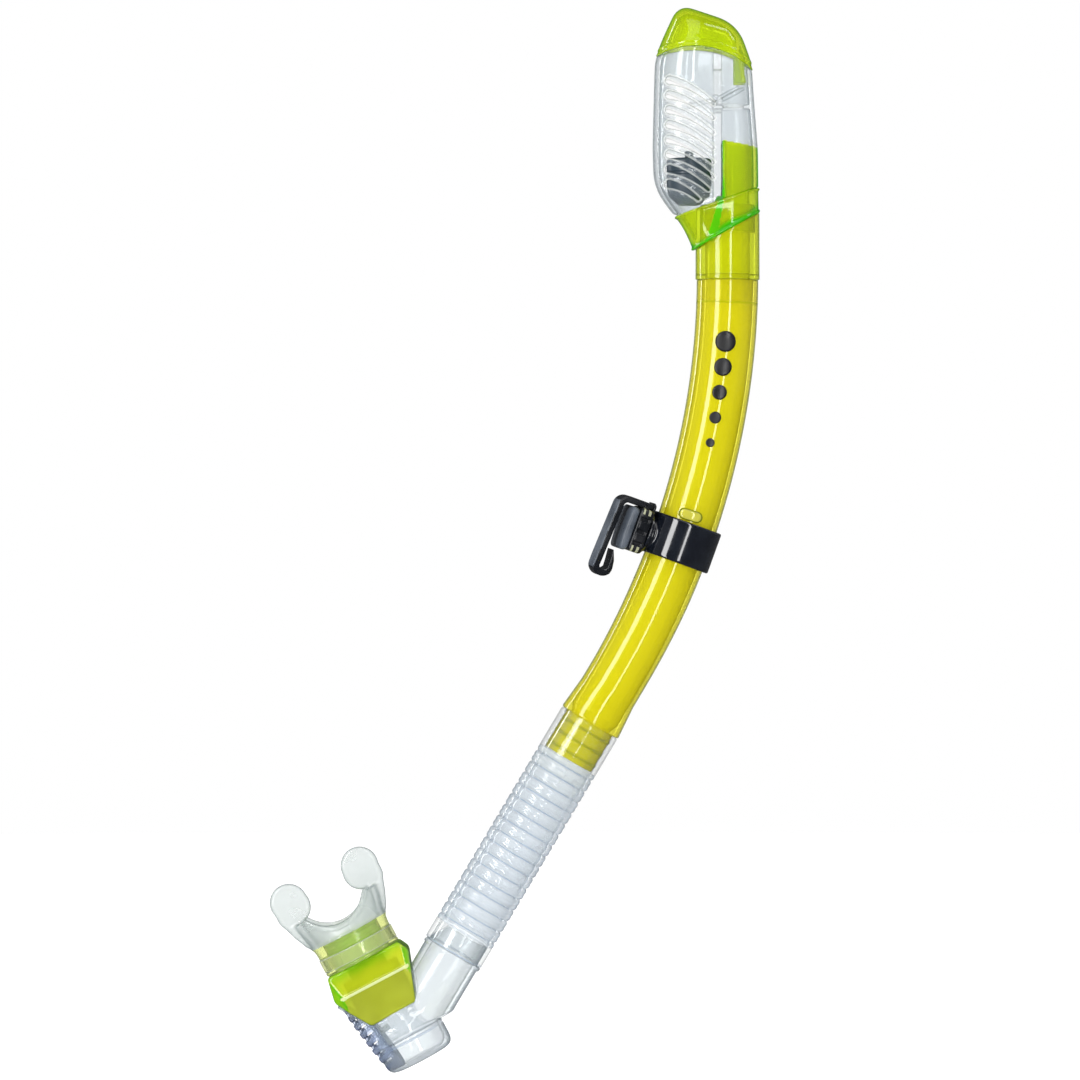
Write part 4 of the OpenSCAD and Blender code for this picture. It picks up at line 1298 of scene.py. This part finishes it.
def guard(p):
    z0, z1 = 7.3, 14.4
    edge = oblong(p, VENT_SPREAD, 13.5)
    taper = 0.22 * np.clip(p[:, 2] - z0, 0, 9)
    d = smax(edge + taper, np.abs(p[:, 2] - (z0 + z1) / 2) - (z1 - z0) / 2, 1.6)
    cave = smax(edge + 1.7 + taper, np.abs(p[:, 2] - 10.9) - 2.0, 0.4)
    base = np.maximum(np.hypot(p[:, 0], p[:, 1]) - 11.7, p[:, 2] - 9.3)
    d = smax(d, -np.minimum(cave, base), 0.3)
    y = np.abs(p[:, 1])
    for i in range(-3, 4):
        across = np.abs(p[:, 0] - i * 4.1 - 0.12 * y) - 0.85
        d = smax(d, -np.maximum(across, np.maximum(2.2 - y, 9.9 - p[:, 2])), 0.35)
    post_d = np.maximum(np.hypot(p[:, 0] + 0.5, p[:, 1]) - 1.8, np.abs(p[:, 2] - 12.45) - 1.2)
    d = smin(d, post_d, 0.3)
    return np.maximum(d, 0.12 - adapter_body(mouth.into(purge.out(p))))


sdf_mesh(
    "purge_guard_grille", guard, (-18, -14.6, 6.6), (18, 14.6, 15.2), 0.4, purge, "chamber",
    [guard_clear], stands_for=["purge_guard"], slot="clear",
)

SUMP_OUT, SUMP_BOTTOM = 14.4, -12.0
sump_outline = divided(
    rounded(
        [
            (SUMP_BOTTOM, 0.02, 0), (SUMP_BOTTOM, SUMP_OUT, 6.5), (-2.6, SUMP_OUT, 0.3),
            (-2.2, SUMP_OUT - 0.35, 0.2), (-1.8, SUMP_OUT, 0.2), (-0.7, SUMP_OUT, 0.5),
            (-0.7, 12.7, 0.3), (-8.2, 12.4, 2.4), (SUMP_BOTTOM + 1.7, 10.2, 1.5),
            (SUMP_BOTTOM + 1.7, 0.02, 0),
        ],
        steps=6,
    ),
    1.5,
)


def sump_skin(a, b):
    z = (a[0] + b[0]) / 2
    # The groove ring gets the painted shade.
    if -2.7 < z < -1.7 and min(a[1], b[1]) > 13.5:
        return 2
    return int(min(a[1], b[1]) < 12.8 and min(a[0], b[0]) > SUMP_BOTTOM + 1)


lathe(
    "sump_drum", sump_outline, mouth.at((SUMP_X, 0, 0)), "chamber",
    [clear_thick, clear_faint, groove_shade], 96, pick=sump_skin, stands_for=["sump_cap"], slot="clear",
)

# ---------------------------------------------------------------- mouthpiece

flare = soft_table(
    [
        (-6, 0, 15.75), (10, 0, 15.75), (13.5, 1.4, 15.2), (17.5, 4.8, 12.9), (22, 8.2, 10.6),
        (34, 10.5, 9.2),
    ],
    1.2,
)


OVER_SPIGOT = 12.4


def bite(p, side):
    x, z = p[:, 0] * side, p[:, 2]
    paddle = path(x, z, [(15.6, 31.4), (16.0, 33.6)], [7.4, 7.5])
    stalk = path(x, z, [(15.8, 16), (17.6, 21), (18.6, 27.5)], [2.6, 3.0, 4.2])
    flat = smin(paddle, stalk, 2.4)
    apart = (x - 15.5) ** 2 + (z - 34) ** 2
    nub = 0.5 * np.exp(-apart / 9) - 0.4 * np.exp(-apart / 40)
    return smax(flat, np.abs(p[:, 1]) - 2.5 - nub, 2.0)


def mouthpiece(p):
    x, y, z = p.T
    spread, r = flare(z)
    skin = np.hypot(np.maximum(np.abs(x) - spread, 0), y) - r
    groove = 0.75 * np.clip(1 - np.abs(z - 4.5) / 3.0, 0, 0.12) / 0.12
    bead = 0.3 * np.exp(-((z - OVER_SPIGOT) ** 2) / 0.7) + 0.35 * np.exp(-((z - 0.9) ** 2) / 0.6)
    skin = skin + groove - bead
    rho = np.hypot(x, y)
    thick = 2.3
    cave = np.where(z < 12.2, rho - 12.06, np.maximum(skin + thick, -20))
    cave = smin(cave, rho - (PORT_R + 0.2), 0.4)
    arch = 14.4 - np.hypot(x, z - 31.6)
    rim = np.abs(arch + 0.9) - 0.9
    d = smax(skin, -cave, 0.8)
    d = smax(d, 0.1 - z, 0.5)
    d = smax(d, arch, 1.6)
    d = smax(d, z - 24, 1.0)
    lips = np.maximum(np.maximum(np.abs(skin + 0.6) - 1.1, rim), np.maximum(z - 25, 14 - z))
    d = smin(d, lips, 0.8)
    return smin(d, smin(bite(p, 1), bite(p, -1), 0.5), 1.8)


on_adapter = mouth.at((0, 0, ADAPTER_TOP))
sdf_mesh(
    "mouthpiece_soft", mouthpiece, (-27, -17.5, -1), (27, 17.5, 44), 0.5, on_adapter, "chamber",
    [silicone, silicone_over_lime], pick=lambda c: (c[:, 2] < OVER_SPIGOT).astype(int),
    stands_for=["mouthpiece"], slot="silicone",
)
band_outline = rounded(
    [(1.7, 15.12, 0.2), (1.7, 16.1, 0.4), (7.3, 16.1, 0.4), (7.3, 15.12, 0.2)], steps=3
)
# The band's two edges get the painted highlight.
lathe(
    "mouthpiece_clamp_band", band_outline, on_adapter, "chamber", [clear_lime, rim_highlight], 112,
    pick=lambda a, b: int(min(a[0], b[0]) < 2.1 or max(a[0], b[0]) > 6.9),
    stands_for=["mouthpiece_band"], slot="clear",
)

# ---------------------------------------------------------------- studio

CAMERA_BACK = 2.4
aim = Vector(tube.out((-75, 0, -106)) * MM)
camera_data = bpy.data.cameras.new("camera")
camera_data.lens, camera_data.sensor_width = 200, 36
camera = linked("camera", camera_data)
camera.location = aim + Vector((0, -CAMERA_BACK, 0))
camera.rotation_euler = (math.pi / 2, 0, 0)
bpy.context.scene.camera = camera

FLOOR_DROP = 0.05  # room for the chamber when the hose bends down
floor_z = cad_box[0].z - FLOOR_DROP
floor_mat, nt = new_material("studio_floor")
grain = add(nt, "TexNoise", {"Scale": 40.0, "Detail": 3.0}).outputs[0]
tone = blend_colour(nt, ramp(nt, grain, 0.3, 0.7, 0.0, 1.0), (0.90, 0.90, 0.90), (0.93, 0.93, 0.93))
paper = add(nt, "BsdfDiffuse", {"Color": tone, "Roughness": 0.6}).outputs[0]
lift = add(nt, "Emission", {"Color": (1, 1, 1, 1), "Strength": 0.35}).outputs[0]
lit = add(nt, "AddShader", {0: paper, 1: lift}).outputs[0]
unlit = add(nt, "Emission", {"Color": (1, 1, 1, 1), "Strength": 0.08}).outputs[0]
glossy = add(nt, "LightPath").outputs["Is Glossy Ray"]
add(nt, "OutputMaterial", {"Surface": add(nt, "MixShader", {0: glossy, 1: lit, 2: unlit}).outputs[0]})
turn = np.arange(96) * 2 * math.pi / 96
disc = [(aim.x + 3 * math.cos(t), 3 * math.sin(t), floor_z) for t in turn]
floor_mesh = bpy.data.meshes.new("studio_floor")
floor_mesh.from_pydata(disc, [], [list(range(96))])
floor_mesh.materials.append(floor_mat)
linked("studio_floor", floor_mesh)


def softbox(name, azimuth, height, distance, wide, tall, power):
    """Area lamp aimed at the object. Azimuth 0 is beside the camera, positive to its right."""
    lamp = bpy.data.lights.new(name, "AREA")
    lamp.shape, lamp.size, lamp.size_y, lamp.energy = "RECTANGLE", wide, tall, power
    ob = linked(name, lamp)
    a = math.radians(azimuth)
    ob.location = aim + Vector((distance * math.sin(a), -distance * math.cos(a), height))
    ob.rotation_euler = (aim - ob.location).to_track_quat("-Z", "Y").to_euler()


softbox("strip_left", -36, 0.1, 1.3, 0.36, 1.5, 15)
softbox("strip_right", 13, 0.1, 1.3, 0.15, 1.5, 6.5)
softbox("kick_right", 74, 1.0, 0.9, 0.22, 0.5, 1.8)
softbox("fill_top", 0, 1.4, 0.9, 1.2, 1.2, 5)
softbox("rim_left", -120, 0.3, 1.1, 0.12, 1.2, 3)

world = bpy.data.worlds.new("studio")
bpy.context.scene.world = world
world.use_nodes = True
nt = world.node_tree
nt.nodes.clear()
ray = add(nt, "LightPath")
sky = add(nt, "TexCoord").outputs["Generated"]
split = add(nt, "SeparateXYZ", {0: sky}).outputs
side = ramp(nt, math_node(nt, "ABSOLUTE", split[0]), 0.5, 1.0, 0.06, 0.30)
dim = math_node(nt, "MULTIPLY", side, ramp(nt, split[1], -0.6, 0.6, 0.7, 1.0))
soft = ramp(nt, ray.outputs["Is Diffuse Ray"], 0.0, 1.0, 1.0, 0.74)
bright = add(nt, "Background", {"Color": (1, 1, 1, 1), "Strength": soft}).outputs[0]
seen = add(nt, "Background", {"Color": (0.93, 0.96, 1, 1), "Strength": dim}).outputs[0]
both = add(nt, "MixShader", {0: ray.outputs["Is Glossy Ray"], 1: bright, 2: seen}).outputs[0]
out = nt.nodes.new("ShaderNodeOutputWorld")
nt.links.new(both, out.inputs[0])

scene = bpy.context.scene
scene.view_settings.view_transform = "Standard"
scene.cycles.transparent_max_bounces = 40
scene.cycles.max_bounces = 24
